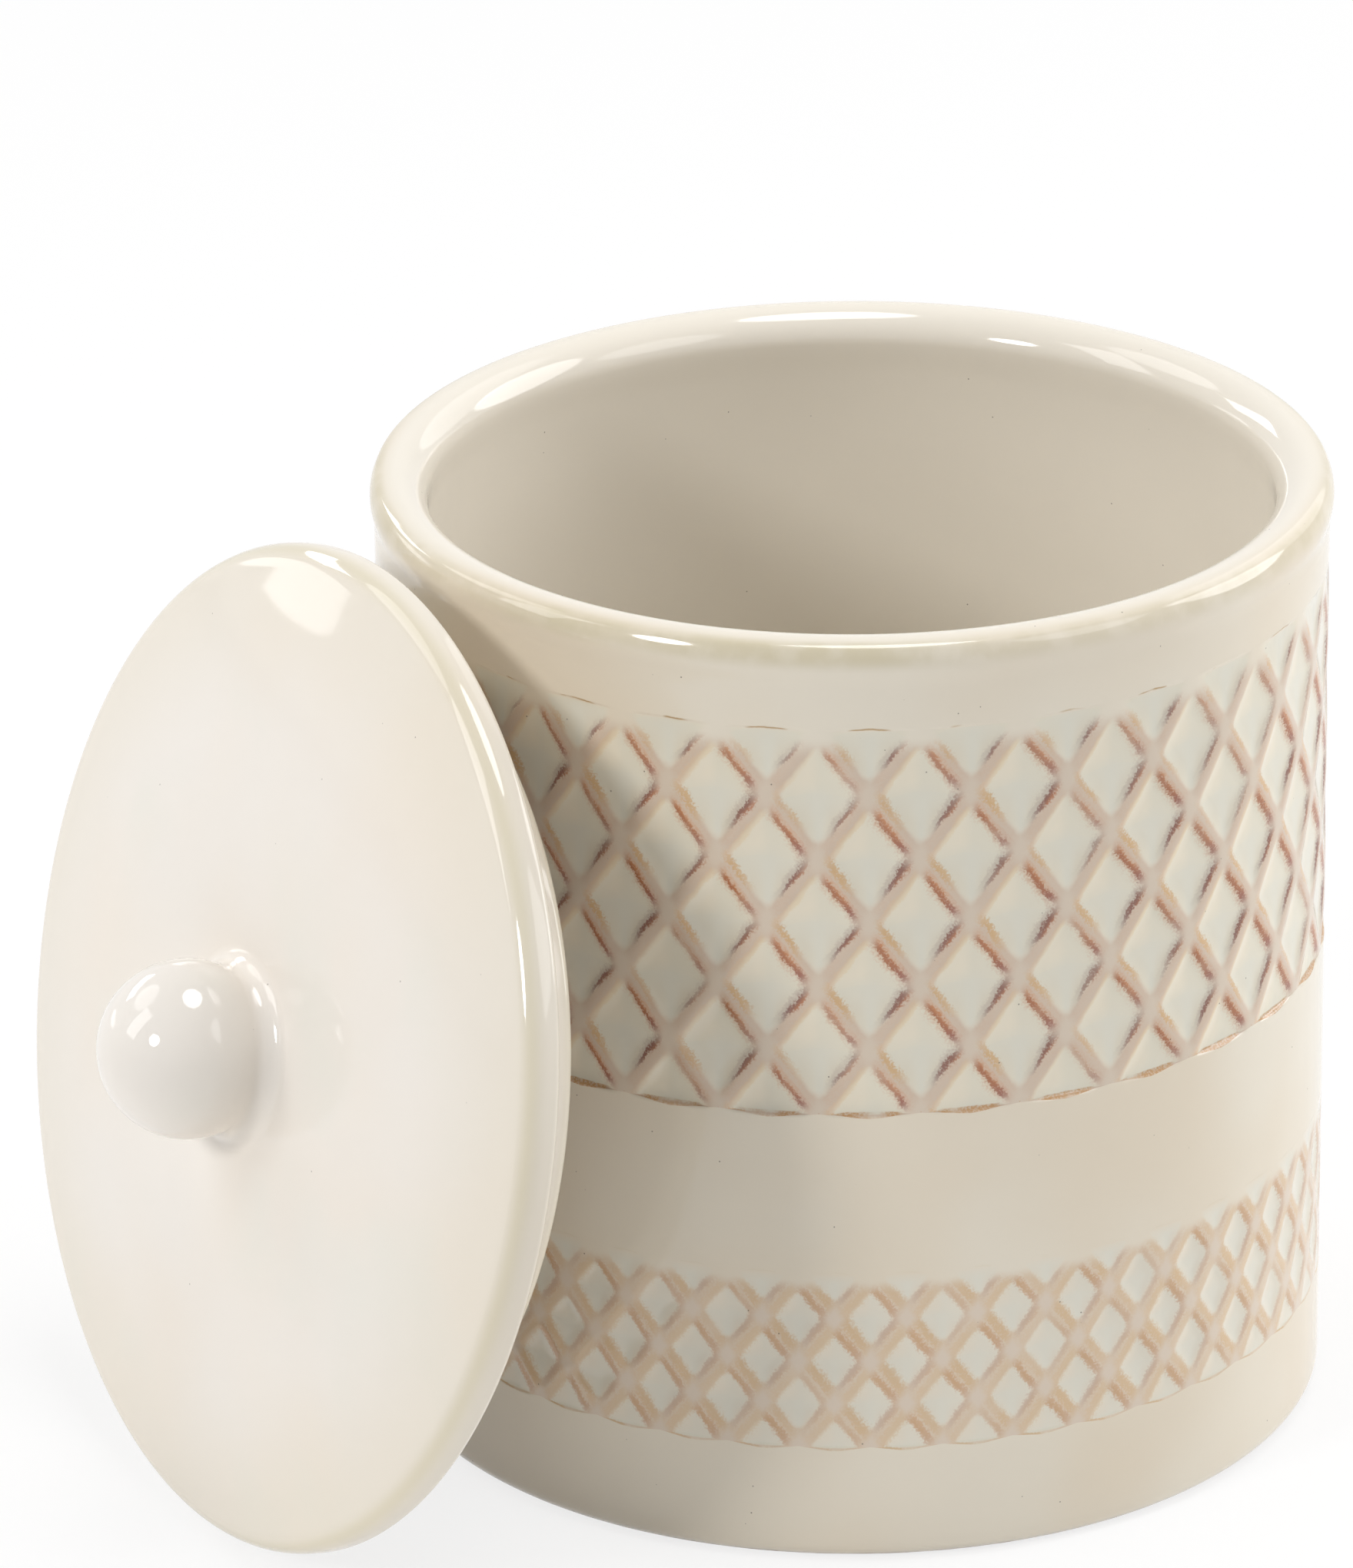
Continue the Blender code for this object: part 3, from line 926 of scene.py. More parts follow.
class BandPaint:
    """Lays the fired colours of one lattice band over the glaze, with painted light, shade and a painted
    reflection in its pockets.

    Grains and the border lines' own sizes are lengths. RIB_HEAD is counted from the band's head, and
    RIB_FOOT and POCKET_FOOT from its foot, in half rows inside the band and in margins beyond it. Spans
    named for a patch, grain, grit or break are values of noise. Other places are shares of a cell.
    """

    POWDER_GRAIN = 0.00028
    SWAY_GRAIN = 0.0026
    CLOUD_GRAIN = 0.0016
    PATCH_GRAIN = 0.0055
    GRAIN_REACH = (0.32, 0.62)
    WANDER = 0.09
    POCKET_ROUND = 0.22
    CUT_ROUND = 0.2
    POCKET_BLUR = 0.09
    POCKET_FOOT = (-0.45, -0.05)
    POOL_SHARE = 0.95
    LIT_SLOPE = (-0.1, 0.22)
    SHADED_SLOPE = (-0.05, 0.3)
    SHADE_SHARES = (0.85, 0.5)
    WEDGE_FLARE = (-0.7, 0.2)
    WEDGE_SPREAD = 0.22
    WEDGE_LEAST_WIDTH = 0.10
    WEDGE_MIDDLE = 0.02
    WEDGE_HEAD = (0.28, -0.12)
    WEDGE_SHARE = 0.9
    # The faint cool arc in each pocket: a painted reflection of the horizon.
    PAINTED_HORIZON_ARCH = 0.22
    PAINTED_HORIZON_REACH = (0.05, 0.02)
    PAINTED_HORIZON_FADE = (0.1, 0.5)
    PAINTED_HORIZON_SHARE = 0.35
    RIB_BLUR = 0.1
    RIB_HEAD = (-0.08, -0.45)
    RIB_FOOT = (-0.9, -0.3)
    CROSSING_REACH = (0.28, 0.44)
    SMEAR_PATCH = (0.35, 0.6)
    SHAKE = 0.7
    SWAY = 0.07
    WIDTH_CHANCE = 0.3
    GRIT_REACH = (0.66, 0.3)
    GRIT_SHARE = 0.6
    FULL_COVER = 0.7
    BREAK_PATCH = 0.6
    BREAK_REACH = (0.25, 0.55)
    BREAK_SHARE = 0.65
    RIB_SIDE = (-0.2, 1.2)
    TAIL_SHARE = 0.8
    HEAD_LINE_SIDES = (0.46, 0.28)
    HEAD_LINE_PATCH = (0.42, 0.52)
    FOOT_LINE_SIDES = (0.7, 0.5)
    FOOT_LINE_PATCH = (0.3, 0.5)
    HEAD_LINE_RISE = 0.0004
    HEAD_LINE_ARCH = 0.0009
    HEAD_LINE_SHAKE = 0.0004
    HEAD_LINE_WIDTH = 0.00013
    FOOT_LINE_SHAKE = 0.0003
    FOOT_LINE_TOP = (0.00022, 0.0)
    FOOT_LINE_FOOT = (-0.0010, -0.0003)

    def __init__(self, glaze: Glaze, band: LatticeBand, marks: LatticeMarks, angle: Wire, height: Wire,
                 outside: Wire) -> None:
        """Work out the places that the colours follow.

        Args:
            glaze: The glaze that is written.
            band: The band's sizes.
            marks: The band's colours.
            angle: The angle round the jar, in radians.
            height: The height.
            outside: One on the outer wall.
        """
        self.sheet = glaze.sheet
        self.band = band
        self.marks = marks
        across = (angle - band.start_angle) * (band.columns / math.pi)
        self.rise = height - band.foot
        inside = self.rise.most(0.0).least(band.rise)
        self.up = inside / band.half_row + (self.rise - inside) / band.margin
        first, second = (self.up + across) * 0.5, (self.up - across) * 0.5
        column, counter = first.rounded(), second.rounded()
        self.right, self.left = first - column, second - counter
        self.sides = {
            Side.UPPER_RIGHT: (self.right, self.left),
            Side.LOWER_RIGHT: (self.left * -1.0, self.right),
            Side.UPPER_LEFT: (self.left, self.right),
            Side.LOWER_LEFT: (self.right * -1.0, self.left),
        }
        row = column + counter
        self.live = (row > -0.5) * (row < band.rows + 0.5) * outside
        self.bottom = row < 0.5
        self.top = row > band.rows - 1.5
        pocket_key = self.sheet.vector(column % band.columns, counter % band.columns, 0.0)
        sockets = {"Vector": pocket_key}
        chance = self.sheet.node("ShaderNodeTexWhiteNoise", {"noise_dimensions": "3D"}, sockets)
        self.luck = self.sheet.wire(chance.outputs["Value"])
        self.grain = glaze.mottle(self.POWDER_GRAIN, 1.0)
        self.sway = glaze.mottle(self.SWAY_GRAIN, 0.0)
        self.cloud = glaze.mottle(self.CLOUD_GRAIN, 2.0, 0.6)
        self.patch = glaze.mottle(self.PATCH_GRAIN)

    def over(self, colour: Any) -> bpy.types.NodeSocket:
        """Colour the band.

        Args:
            colour: The glaze so far.

        Returns:
            The glaze with the band's colours.
        """
        band, marks, sheet = self.band, self.marks, self.sheet
        wander = (self.cloud - 0.5) * self.WANDER
        spread = abs(self.right).most_softly(abs(self.left), self.POCKET_ROUND) * 2.0 + wander
        if marks.corner_cut:
            spread = spread.most_softly(abs(self.right + self.left) * marks.corner_cut, self.CUT_ROUND)
        pocket = spread.eased(band.edge_share + self.POCKET_BLUR, band.edge_share - self.POCKET_BLUR)
        pocket = pocket * self.live * self.up.eased(*self.POCKET_FOOT)
        head = self.up.eased(*(band.rows + place for place in self.RIB_HEAD))
        pocket_head = self.up.eased(*(band.rows + place for place in marks.pool_head))
        rib = (1.0 - pocket) * self.live * head * self.up.eased(*self.RIB_FOOT)
        crossing = abs(self.right).least(abs(self.left)).eased(*self.CROSSING_REACH)
        colour = sheet.blend(rib, colour, sheet.blend(crossing, marks.rib, marks.crossing))
        rib_middle = spread.eased(band.edge_share - self.RIB_BLUR, band.edge_share + self.RIB_BLUR)
        smear = rib_middle * (1.0 - crossing) * self.live * head * self.powder(0.5)
        smear = smear * self.patch.eased(*self.SMEAR_PATCH).partly(0.5)
        colour = sheet.blend(smear * marks.smear_share, colour, marks.smear)
        # The pockets' glaze, with its painted light, shade and reflection.
        colour = sheet.blend(pocket * pocket_head * self.POOL_SHARE, colour, self.pool())
        fired = [self.fired(line) for line in marks.lines]
        for share, tint in [(share * head, tint) for share, tint in fired] + self.border_lines():
            colour = sheet.blend(share, colour, tint)
        return colour

    def powder(self, grit: float) -> Wire:
        """Powdery cover, around one less half of the grit, which goes from zero to one."""
        return self.grain.eased(*self.GRAIN_REACH).partly(grit)

    def pool(self) -> bpy.types.NodeSocket:
        """The glaze pooled in a pocket, with painted light on the upper left face of a faint inverted
        pyramid, painted shade on its lower faces, a cool middle and lower corner, and a faint cool arc that
        is a painted reflection of the horizon.
        """
        marks, sheet = self.marks, self.sheet
        across, up = self.right - self.left, self.right + self.left
        # Painted light: the upper left face of the pocket is lighter, as where the lamps light it.
        colour = sheet.blend((self.left - abs(self.right)).eased(*self.LIT_SLOPE), marks.pool, marks.light)
        # Painted shade: the two lower faces are darker, as where they turn from the light.
        sides = ((self.left, self.right), (self.right, self.left))
        for (side, other), share in zip(sides, self.SHADE_SHARES):
            slope = (-1.0 * side - abs(other)).eased(*self.SHADED_SLOPE)
            colour = sheet.blend(slope * share, colour, marks.shade)
        width = up.eased(*self.WEDGE_FLARE) * self.WEDGE_SPREAD + self.WEDGE_LEAST_WIDTH
        wedge = across.bell(self.WEDGE_MIDDLE, width) * up.eased(*self.WEDGE_HEAD)
        colour = sheet.blend(wedge * self.WEDGE_SHARE, colour, marks.cool)
        # Painted reflection: a faint cool arc across the pocket, the horizon mirrored in its glossy floor.
        brow = (up + across * across * self.PAINTED_HORIZON_ARCH).eased(*self.PAINTED_HORIZON_REACH)
        brow = brow * (1.0 - abs(up).eased(*self.PAINTED_HORIZON_FADE)) * self.PAINTED_HORIZON_SHARE
        return sheet.blend(brow, colour, marks.cool)

    def fired(self, line: FiredLine) -> tuple[Wire, bpy.types.NodeSocket]:
        """Work out one fired line.

        Args:
            line: The line.

        Returns:
            Its share and its colour.
        """
        beside, along = self.sides[line.side]
        centre = self.band.edge_share / 2 + line.offset
        narrowed = along.eased(line.end, line.start).partly(1.0 - line.taper)
        shaken = beside + (self.cloud - 0.5) * (line.width * self.SHAKE) + (self.sway - 0.5) * self.SWAY
        width = narrowed * line.width * (self.luck * self.WIDTH_CHANCE + (1 - self.WIDTH_CHANCE / 2))
        across = shaken.bell(centre, width)
        across = across - self.grain.eased(*self.GRIT_REACH) * line.grit * self.GRIT_SHARE
        across = across.eased(0.0, self.FULL_COVER)
        reach = along.eased(line.start + line.ease, line.start - line.ease)
        reach = reach * along.eased(line.end - line.ease, line.end + line.ease)
        rows = 1.0 - self.top * (1.0 - line.top_row) - self.bottom * (1.0 - line.bottom_row)
        chance = self.patch * self.BREAK_PATCH + self.luck * (1 - self.BREAK_PATCH)
        broken = chance.eased(*self.BREAK_REACH).partly(self.BREAK_SHARE)
        share = across * reach * rows * broken * self.live * line.strength
        rib_side = beside.eased(*(centre + line.width * place for place in self.RIB_SIDE))
        tint = self.sheet.blend(rib_side, line.colour, line.rib_colour)
        tail = along.eased((line.start + line.end) / 2, line.end)
        return share, self.sheet.blend(tail * self.TAIL_SHARE, tint, line.tail_colour)

    def border_lines(self) -> list[tuple[Wire, Colour]]:
        """Work out the lines that break along the band's two borders, over and under the cut pockets.

        Returns:
            Each line's share and its colour.
        """
        marks = self.marks
        across = abs(self.right - self.left)
        brow = self.rise - self.band.rise - self.HEAD_LINE_RISE + across * across * self.HEAD_LINE_ARCH
        brow = brow + (self.cloud - 0.5) * self.HEAD_LINE_SHAKE
        head = brow.bell(0.0, self.HEAD_LINE_WIDTH) * across.eased(*self.HEAD_LINE_SIDES) * self.live
        head = head * self.patch.eased(*self.HEAD_LINE_PATCH) * marks.head_line_share
        ledge = self.rise + (self.cloud - 0.5) * self.FOOT_LINE_SHAKE
        foot = ledge.eased(*self.FOOT_LINE_TOP) * ledge.eased(*self.FOOT_LINE_FOOT)
        foot = foot * (across.eased(*self.FOOT_LINE_SIDES) * self.live)
        foot = foot * self.patch.eased(*self.FOOT_LINE_PATCH) * self.powder(0.5)
        return [(head, marks.head_line), (foot * marks.foot_line_share, marks.foot_line)]


@dataclass(frozen=True)
class LidFinish:
    """Near-white cream glaze on the lid and its knob, with painted shade: darker, yellower cream towards the
    lid's rim.
    """

    name: str
    cream: Colour = pigment(235, 229, 221)
    warm: Colour = pigment(235, 226, 214)
    cool: Colour = pigment(230, 227, 217)
    # rim: painted shade, the darker, yellower cream towards the lid's rounded edge.
    rim: Colour = pigment(225, 215, 195)
    khaki: Colour = pigment(214, 204, 172)
    pit: Colour = pigment(110, 98, 88)
    gloss: float = 0.055
    broad_grain: float = 0.045
    warm_reach: Span = (0.4, 0.7)
    cool_grain: float = 0.02
    cool_reach: Span = (0.5, 0.75)
    cool_share: float = 0.6
    rim_shade_start_share: float = 0.62
    rim_shade_share: float = 0.5
    thin_share: float = 0.5
    thin_width: float = 0.0009
    thin_height: float = 0.0012
    pit_cell: float = 0.0036
    pit_radius: float = 0.00014
    pits_kept: float = 0.3
    pit_share: float = 0.6
    swell_grain: float = 0.02
    swell_height: float = 0.00008

    def material(self, seat: Matrix, edges: Sequence[Span]) -> bpy.types.Material:
        """Write the material.

        Args:
            seat: Where the lid's own frame is, its seat plane's centre and axis.
            edges: The (radius, height) of the edges where the glaze runs thin, in the lid's frame.

        Returns:
            The material.
        """
        glaze = Glaze(self.name)
        sheet = glaze.sheet
        sockets = {"Vector": glaze.place, "Location": tuple(seat.translation),
                   "Rotation": tuple(seat.to_euler())}
        own = sheet.node("ShaderNodeMapping", {"vector_type": "TEXTURE"}, sockets)
        x, y, z = sheet.parts(own.outputs[0])
        radius = axis_distance(x, y)
        colour = sheet.blend(glaze.mottle(self.broad_grain).eased(*self.warm_reach), self.cream, self.warm)
        cool = glaze.mottle(self.cool_grain).eased(*self.cool_reach) * self.cool_share
        colour = sheet.blend(cool, colour, self.cool)
        # Painted shade: the cream darkens and yellows from part way out to the rim, as where the edge turns
        # from the lamps.
        outmost = max((edge_radius for edge_radius, _ in edges), default=1.0)
        outer = radius.eased(outmost * self.rim_shade_start_share, outmost) * self.rim_shade_share
        colour = sheet.blend(outer, colour, self.rim)
        for edge_radius, edge_height in edges:
            thin = radius.bell(edge_radius, self.thin_width) * z.bell(edge_height, self.thin_height)
            colour = sheet.blend(thin * self.thin_share, colour, self.khaki)
        pits = glaze.pinholes(self.pit_cell, self.pit_radius, self.pits_kept)
        colour = sheet.blend(pits * self.pit_share, colour, self.pit)
        return glaze.dress(colour, self.gloss, glaze.ripple(self.swell_grain, self.swell_height))


@dataclass
class Jar:
    """The jar: a turned wall, lip and floor, with two lattice bands sunk into the outside."""

    wall_radius: float = 0.0570
    foot_rise: float = 0.0150
    lower_rise: float = 0.0223
    waist_rise: float = 0.0208
    upper_rise: float = 0.0482
    collar_rise: float = 0.0069
    lip_height: float = 0.0041
    mouth_radius: float = 0.0506
    lip_round: float = 0.0040
    lip_edge_round: float = 0.0012
    lip_roll_round: float = 0.0040
    lip_edge_start: float = 30.0
    lip_edge_end: float = 62.0
    lip_tuck: float = 15.0
    wall_thickness: float = 0.0060
    floor_thickness: float = 0.0060
    cove_radius: float = 0.0080
    base_round: float = 0.0025
    base_hollow: float = 0.0004
    base_land: float = 0.0070
    waviness: float = 0.00006
    wave_turn: float = 0.7
    winding_share: float = 0.6
    winding_rate: float = 55.0
    border_reach: float = 0.00004

    def __post_init__(self) -> None:
        """Set the two bands on the wall."""
        upper_foot = self.foot_rise + self.lower_rise + self.waist_rise
        self.lower = LatticeBand("lower_band", self.wall_radius, self.foot_rise, self.lower_rise, columns=42,
                                 rows=4, turn=6.1, rib_width=0.0023, depth=0.0004, head_fade=0.9,
                                 foot_fade=0.75)
        self.upper = LatticeBand("upper_band", self.wall_radius, upper_foot, self.upper_rise, columns=30,
                                 rows=6, turn=1.8, rib_width=0.0020)

    @property
    def lip_foot(self) -> float:
        """The height at which the lip starts."""
        return self.upper.head + self.collar_rise

    @property
    def height(self) -> float:
        """The jar's height."""
        return self.lip_foot + self.lip_height

    @property
    def inner_radius(self) -> float:
        """The radius of the inner wall."""
        return self.wall_radius - self.wall_thickness

    def under_outline(self) -> Outline:
        """The base from near the axis to the outer wall below the lower band."""
        land = self.wall_radius - self.base_round - self.base_land
        hollow = [(land * share, self.base_hollow) for share in HOLLOW_SHARES]
        edge = arc(self.wall_radius - self.base_round, self.base_round, self.base_round, -90, 0)
        top = (self.wall_radius, self.lower.low_border)
        return hollow + [(land, 0)] + line((land, 0), edge[0], 3) + edge + line(edge[-1], top, 5)

    def waist_outline(self) -> Outline:
        """The plain wall between the bands."""
        return line((self.wall_radius, self.lower.high_border), (self.wall_radius, self.upper.low_border), 7)

    def lip_outline(self) -> Outline:
        """The lip in section: rolled outwards, with a narrow outer edge and a round crown and inside."""
        crown = (self.mouth_radius + self.lip_round, self.height - self.lip_round)
        edge = arc_point(*crown, self.lip_round - self.lip_edge_round, self.lip_edge_end)
        roll = arc_point(*edge, self.lip_edge_round - self.lip_roll_round, self.lip_edge_start)
        return (arc(*roll, self.lip_roll_round, -self.lip_tuck, self.lip_edge_start)[:-1]
                + arc(*edge, self.lip_edge_round, self.lip_edge_start, self.lip_edge_end)[:-1]
                + arc(*crown, self.lip_round, self.lip_edge_end, 180))

    def mouth_outline(self) -> Outline:
        """From above the upper band over the lip, down the inner wall and to the floor near the axis."""
        start = (self.wall_radius, self.upper.high_border)
        foot = (self.wall_radius, self.lip_foot - self.lip_round * 0.3)
        lip = self.lip_outline()
        throat = (self.inner_radius, self.lip_foot - self.lip_round)
        cove = arc(self.inner_radius - self.cove_radius, self.floor_thickness + self.cove_radius,
                   self.cove_radius, 0, -90)
        floor = [(cove[-1][0] * share, self.floor_thickness) for share in FLOOR_SHARES]
        return (line(start, foot, 4) + [foot] + line(foot, lip[0], 2) + lip
                + line(lip[-1], throat, 3) + [throat] + line(throat, cove[0], 14) + cove + floor)

    def thrown(self, place: Vector) -> Vector:
        """Move a point of the true form by the slight waviness of thrown clay.

        The wave has two swells a turn, and three weaker ones that wind up the wall. Both are set in radians.

        Args:
            place: The point.

        Returns:
            Its place on the thrown form.
        """
        reach = math.hypot(place.x, place.y)
        if reach < self.inner_radius * 0.5:
            return place
        turn = math.atan2(place.y, place.x)
        swell = math.sin(2 * turn + self.wave_turn)
        swell += self.winding_share * math.sin(3 * turn + self.winding_rate * place.z)
        share = 1 + self.waviness * swell / reach
        return Vector((place.x * share, place.y * share, place.z))

    def border(self, turning: Turning, height: float) -> Ring:
        """Find a band's open edge in the mesh.

        Args:
            turning: The mesh under way.
            height: The edge's height.

        Returns:
            Its vertices as (angle in radians, vertex) pairs in order.
        """
        found = {vert for edge in turning.bm.edges if edge.is_boundary for vert in edge.verts
                 if abs(vert.co.z - height) < self.border_reach}
        pairs = [(math.atan2(vert.co.y, vert.co.x) % math.tau, vert) for vert in found]
        return sorted(pairs, key=lambda pair: pair[0])

    def build(self) -> bpy.types.Object:
        """Make the jar and put it in place of its CAD node.

        Returns:
            The jar's object.
        """
        glaze = JarFinish().material(self)
        tree = LatticeTree()
        turning = Turning(TURN_STEPS)
        for band in (self.lower, self.upper):
            mesh = tree.grown(band, glaze)
            log.info("%s: %d faces from its node tree", band.name, len(mesh.polygons))
            turning.bm.from_mesh(mesh)
            bpy.data.meshes.remove(mesh)
        bottom, waist_low, waist_high, top = (
            self.border(turning, height) for band in (self.lower, self.upper)
            for height in (band.low_border, band.high_border))
        under, waist, mouth = ([turning.ring(r, z) for r, z in outline] for outline in (
            self.under_outline(), self.waist_outline(), self.mouth_outline()))
        for chain in (under + [bottom], [waist_low] + waist + [waist_high], [top] + mouth):
            turning.chain(chain)
        turning.pole(self.base_hollow, under[0])
        turning.pole(self.floor_thickness, mouth[-1])
        piece = turning.finished("jar_glazed", glaze, bend=self.thrown)
        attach(piece, Body.JAR.value)
        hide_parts("jar_body")
        return piece


@dataclass
class Lid:
    """The domed lid with its flange and ball knob, leaning on the jar.

    Heights are counted along the lid's own axis from its seat plane, whose centre is at the seat's x and z.
    """

    radius: float = 0.0597
    edge: float = 0.0048
    edge_round: float = 0.0030
    under_round: float = 0.0010
    dome_rise: float = 0.0045
    dome_power: float = 3.0
    dome_steps: int = 24
    thickness: float = 0.0050
    flange_radius: float = 0.0496
    flange_depth: float = 0.0077
    flange_thickness: float = 0.0040
    flange_round: float = 0.0012
    seat_fillet: float = 0.0008
    cove_share: float = 0.04
    cove_end: float = 85.0
    lean_angle: float = 12.2
    seat_x: float = -0.0751388
    seat_z: float = 0.0581404
    ball_radius: float = 0.0107
    ball_centre_rise: float = 0.0064
    neck_round: float = 0.0023
    run_out: float = 0.0006
    sink: float = 0.00002
    thin_edge_inset: float = 0.0008
    thin_edge_drop: float = 0.0012

    @property
    def crown_radius(self) -> float:
        """The radius at which the dome meets the rounded edge."""
        return self.radius - self.edge_round

    @property
    def dome_top(self) -> float:
        """The height of the dome's top over the seat plane."""
        return self.edge + self.dome_rise

    @property
    def neck_foot(self) -> float:
        """The radius at which the knob's fillet runs out on the dome."""
        return math.sqrt((self.ball_radius + self.neck_round) ** 2
                         - (self.ball_centre_rise - self.neck_round) ** 2)

    def place(self) -> Matrix:
        """The lid's own frame, as it leans."""
        turn = Matrix.Rotation(math.radians(self.lean_angle - 90), 4, "Y")
        return Matrix.Translation((self.seat_x, 0, self.seat_z)) @ turn

    def dome_height(self, radius: float) -> float:
        """The height of the dome's outside over the seat plane at a radius."""
        return self.dome_top - self.dome_rise * (radius / self.crown_radius) ** self.dome_power

    def dome_slope(self, radius: float) -> float:
        """The angle at which the dome falls at a radius."""
        share = (radius / self.crown_radius) ** (self.dome_power - 1)
        return math.degrees(math.atan(self.dome_power * self.dome_rise / self.crown_radius * share))

    def lid_outline(self) -> Outline:
        """The lid in section, from the dome's top round the rim and the flange to the underside."""
        radii = [self.crown_radius * (step / self.dome_steps) for step in range(1, self.dome_steps + 1)]
        dome = [(radius, self.dome_height(radius)) for radius in radii]
        slope = self.dome_slope(self.crown_radius)
        edge = arc(self.crown_radius, self.edge - self.edge_round, self.edge_round, 90 - slope, 0)
        under = arc(self.radius - self.under_round, self.under_round, self.under_round, 0, -90)
        seat = arc(self.flange_radius + self.seat_fillet, -self.seat_fillet, self.seat_fillet, 90, 180)
        outer = arc(self.flange_radius - self.flange_round, self.flange_round - self.flange_depth,
                    self.flange_round, 0, -90)
        bore = self.flange_radius - self.flange_thickness
        inner = arc(bore + self.flange_round, self.flange_round - self.flange_depth, self.flange_round,
                    -90, -180)
        ceiling = [(bore * share, self.dome_height(bore * share) - self.thickness)
                   for share in CEILING_SHARES]
        round_up = self.cove_share * bore
        cove = arc(bore - round_up, ceiling[0][1] - round_up, round_up, 0, self.cove_end)
        return ([(0, self.dome_top)] + dome + edge[1:] + line(edge[-1], under[0], 2) + under
                + line(under[-1], seat[0], 4) + seat + line(seat[-1], outer[0], 4) + outer + inner
                + line(inner[-1], cove[0], 4) + cove + ceiling[1:] + [(0, self.dome_top - self.thickness)])

    def knob_outline(self) -> Outline:
        """The knob in section, from the ball's top down the neck, run out on the dome and closed below."""
        tangent = 270 - self.dome_slope(self.neck_foot)
        meet = math.degrees(math.asin((self.ball_centre_rise - self.neck_round)
                                      / (self.ball_radius + self.neck_round)))
        foot = arc_point(self.neck_foot, 0, self.neck_round, tangent)
        seat = self.dome_height(foot[0]) - foot[1] - self.neck_round
        ball = arc(0, seat + self.ball_centre_rise, self.ball_radius, 90, -meet)
        fillet = arc(self.neck_foot, seat + self.neck_round, self.neck_round, 180 - meet, tangent)
        edge = (fillet[-1][0] + self.run_out, self.dome_height(fillet[-1][0] + self.run_out) - self.sink)
        under = (edge[0], edge[1] - self.neck_round / 8)
        return ([(0, ball[0][1])] + ball[1:] + fillet[1:] + [edge, under] + line(under, (0, under[1]), 4)
                + [(0, under[1])])

    def build(self) -> list[bpy.types.Object]:
        """Make the lid and the knob and put them in place of their CAD nodes.

        Returns:
            The lid's and the knob's objects.
        """
        place = self.place()
        edges = [(self.radius - self.thin_edge_inset, self.edge - self.thin_edge_drop),
                 (self.flange_radius, -self.flange_depth)]
        lid_glaze = LidFinish("lid_glaze_look").material(place, edges)
        knob_glaze = LidFinish("knob_glaze_look").material(place, [])
        made = []
        for name, outline, steps, glaze, node, slot in (
                ("lid_glazed", self.lid_outline(), LID_STEPS, lid_glaze, "lid", Slot.LID),
                ("knob_glazed", self.knob_outline(), KNOB_STEPS, knob_glaze, "lid_knob", Slot.KNOB)):
            turning = Turning(steps)
            turning.turned(outline)
            piece = turning.finished(name, glaze, place=place)
            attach(piece, Body.LID.value)
            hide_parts(node)
            made.append(piece)
        return made


@dataclass(frozen=True)
class PhotoCamera:
    """The camera at the photographed angle. It looks at a point beside the jar's axis."""

    azimuth: float = -29.215
    elevation: float = 22.891
    roll: float = -0.475
    distance: float = 1.389289
    aim_right: float = -0.021219
    aim_height: float = 0.076069
    lens: float = 264.706
    sensor: float = 36.0
    near: float = 0.05
    far: float = 50.0

    def build(self) -> bpy.types.Object:
        """Make the camera and give it to the scene.

        Returns:
            The camera's object.
        """
        data = bpy.data.cameras.new("photo_camera")
        data.lens = self.lens
        data.sensor_width = self.sensor
        data.clip_start = self.near
        data.clip_end = self.far
        roll = math.radians(self.roll)
        back = outwards(self.azimuth, self.elevation)
        level = outwards(self.azimuth + 90, 0)
        upright = back.cross(level)
        right = level * math.cos(roll) + upright * math.sin(roll)
        up = upright * math.cos(roll) - level * math.sin(roll)
        turned = Matrix((right, up, back)).transposed().to_4x4()
        aim = level * self.aim_right + Vector((0, 0, self.aim_height))
        camera = placed("photo_camera", data)
        camera.matrix_world = Matrix.Translation(aim + back * self.distance) @ turned
        bpy.context.scene.camera = camera
        return camera


@dataclass(frozen=True)
class SoftBox:
    """A soft studio lamp, aimed at the middle of the object."""

    name: str
    azimuth: float
    elevation: float
    distance: float
    width: float
    height: float
    power: float
    shape: LampShape = LampShape.OVAL
    aim: tuple[float, float, float] = (-0.02, 0.0, 0.06)

    def build(self) -> bpy.types.Object:
        """Hang the lamp.

        Returns:
            The lamp's object.
        """
        data = bpy.data.lights.new(self.name, "AREA")
        data.shape = self.shape.value
        data.size = self.width
        data.size_y = self.height
        data.energy = self.power
        back = outwards(self.azimuth, self.elevation)
        lamp = placed(self.name, data)
        lamp.location = Vector(self.aim) + back * self.distance
        lamp.rotation_euler = (-back).to_track_quat("-Z", "Y").to_euler()
        lamp.visible_camera = False
        return lamp


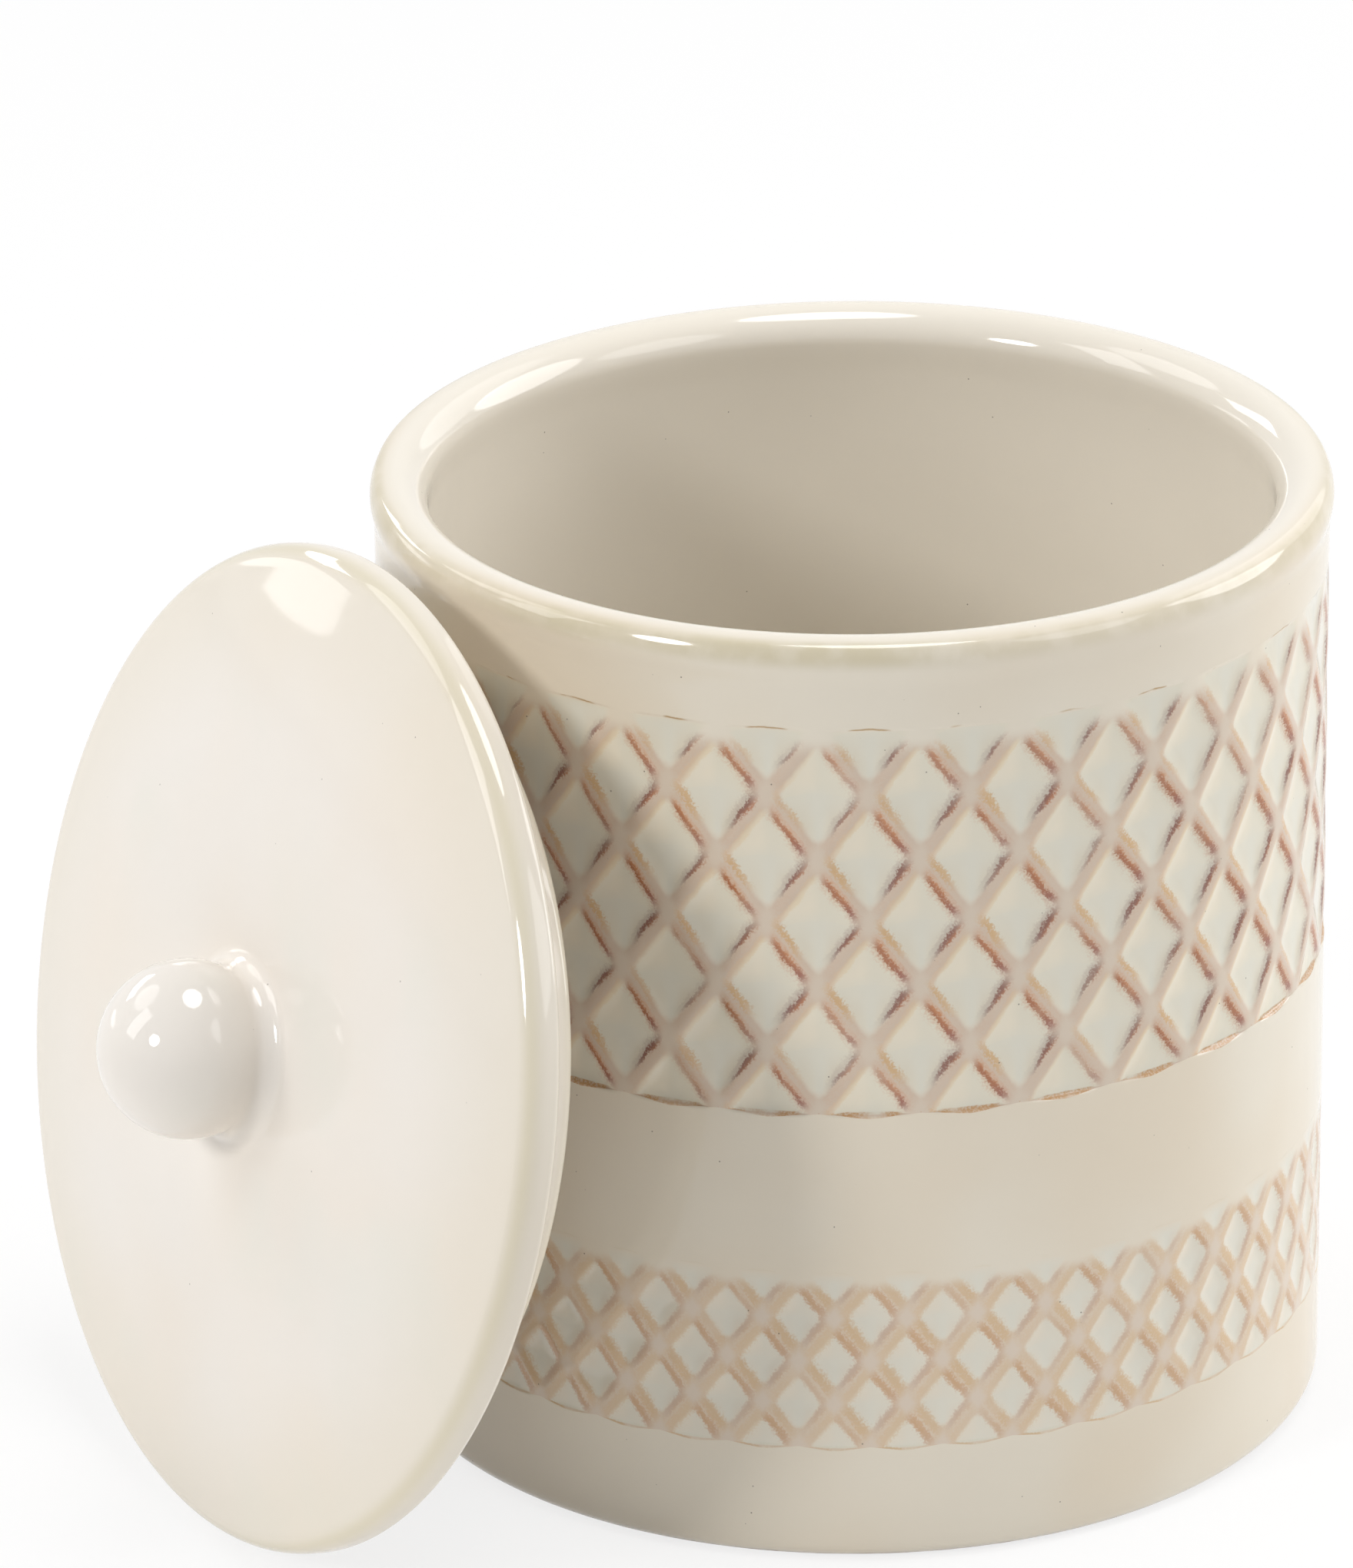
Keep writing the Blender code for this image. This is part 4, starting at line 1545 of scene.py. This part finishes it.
@dataclass
class Studio:
    """The pale floor, the white surroundings and the lamps."""

    floor_size: float = 5.0
    floor_drop: float = 0.0001
    floor_tone: float = 0.95
    floor_shade_share: float = 0.2
    sky: float = 0.08
    lamps: tuple[SoftBox, ...] = (
        SoftBox("overhead_box", azimuth=67.0, elevation=86.0, distance=1.3,
                width=0.68, height=0.48, power=6.4),
        SoftBox("left_box", azimuth=-76.0, elevation=27.0, distance=1.6,
                width=0.36, height=0.36, power=8.5),
        SoftBox("side_box", azimuth=-112.0, elevation=32.0, distance=1.6,
                width=0.45, height=0.9, power=4.2, shape=LampShape.PANEL),
        SoftBox("rear_left_box", azimuth=-146.0, elevation=44.0, distance=1.6,
                width=0.9, height=0.7, power=3.2),
        SoftBox("window_pane", azimuth=-153.0, elevation=5.4, distance=1.6,
                width=0.50, height=0.18, power=0.42),
        SoftBox("back_left_box", azimuth=-170.0, elevation=24.0, distance=1.6,
                width=0.70, height=0.24, power=2.8, shape=LampShape.PANEL),
        SoftBox("front_right_box", azimuth=30.0, elevation=35.0, distance=1.6,
                width=0.9, height=0.9, power=4.2),
        SoftBox("right_wall", azimuth=75.0, elevation=25.0, distance=1.6,
                width=1.0, height=1.2, power=13.0),
        SoftBox("rear_right_box", azimuth=110.0, elevation=30.0, distance=1.6,
                width=1.0, height=1.2, power=3.0),
    )

    @staticmethod
    def sees_white(sheet: NodeSheet) -> Wire:
        """One for the rays that see white: from the camera, mirrored, or let through."""
        path = sheet.node("ShaderNodeLightPath").outputs
        rays = ("Is Camera Ray", "Is Glossy Ray", "Is Transmission Ray")
        camera, mirrored, through = (sheet.wire(path[ray]) for ray in rays)
        return camera.most(mirrored).most(through)

    def floor(self) -> bpy.types.Object:
        """Lay the floor, which shows white where nothing shades it.

        Returns:
            The floor's object.
        """
        half = self.floor_size / 2
        square = [(-half, -half), (half, -half), (half, half), (-half, half)]
        places = [(x, y, -self.floor_drop) for x, y in square]
        mesh = bpy.data.meshes.new("floor")
        mesh.from_pydata(places, [], [(0, 1, 2, 3)])
        material = bpy.data.materials.new("pale_floor")
        material.use_nodes = True
        nodes = material.node_tree.nodes
        nodes.remove(nodes["Principled BSDF"])
        sheet = NodeSheet(material.node_tree)
        share = self.sees_white(sheet) * (1 - self.floor_shade_share)
        matt = sheet.node("ShaderNodeBsdfDiffuse", sockets={"Color": (self.floor_tone,) * 3})
        glow = sheet.node("ShaderNodeEmission", sockets={"Color": WHITE, "Strength": 1.0})
        mixed = sheet.node("ShaderNodeMixShader", sockets={0: share, 1: matt.outputs[0], 2: glow.outputs[0]})
        sheet.feed(nodes["Material Output"].inputs["Surface"], mixed.outputs[0])
        mesh.materials.append(material)
        floor = placed("floor", mesh)
        return floor

    def surroundings(self) -> None:
        """Make the world a dim sky that the camera, mirror and transmission rays see as white."""
        world = bpy.data.worlds.new("studio")
        world.use_nodes = True
        sheet = NodeSheet(world.node_tree)
        background = world.node_tree.nodes["Background"]
        sheet.feed(background.inputs["Color"], WHITE)
        sheet.feed(background.inputs["Strength"], self.sees_white(sheet).partly(1 - self.sky))
        bpy.context.scene.world = world

    def build(self) -> None:
        """Set up the whole studio."""
        self.floor()
        self.surroundings()
        for lamp in self.lamps:
            lamp.build()
        bpy.context.scene.view_settings.view_transform = "Standard"


def main() -> None:
    """Load the frame, build each sub-assembly on it and note the boxes."""
    logging.basicConfig(level=logging.INFO, format="%(name)s: %(message)s")
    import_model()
    PhotoCamera().build()
    Studio().build()
    pieces = [Jar().build(), *Lid().build()]
    for piece in pieces:
        log.info("%s: %d faces, size %s mm", piece.name, len(piece.data.polygons),
                 [round(1000 * side, 2) for side in piece.dimensions])


if __name__ == "__main__":
    main()
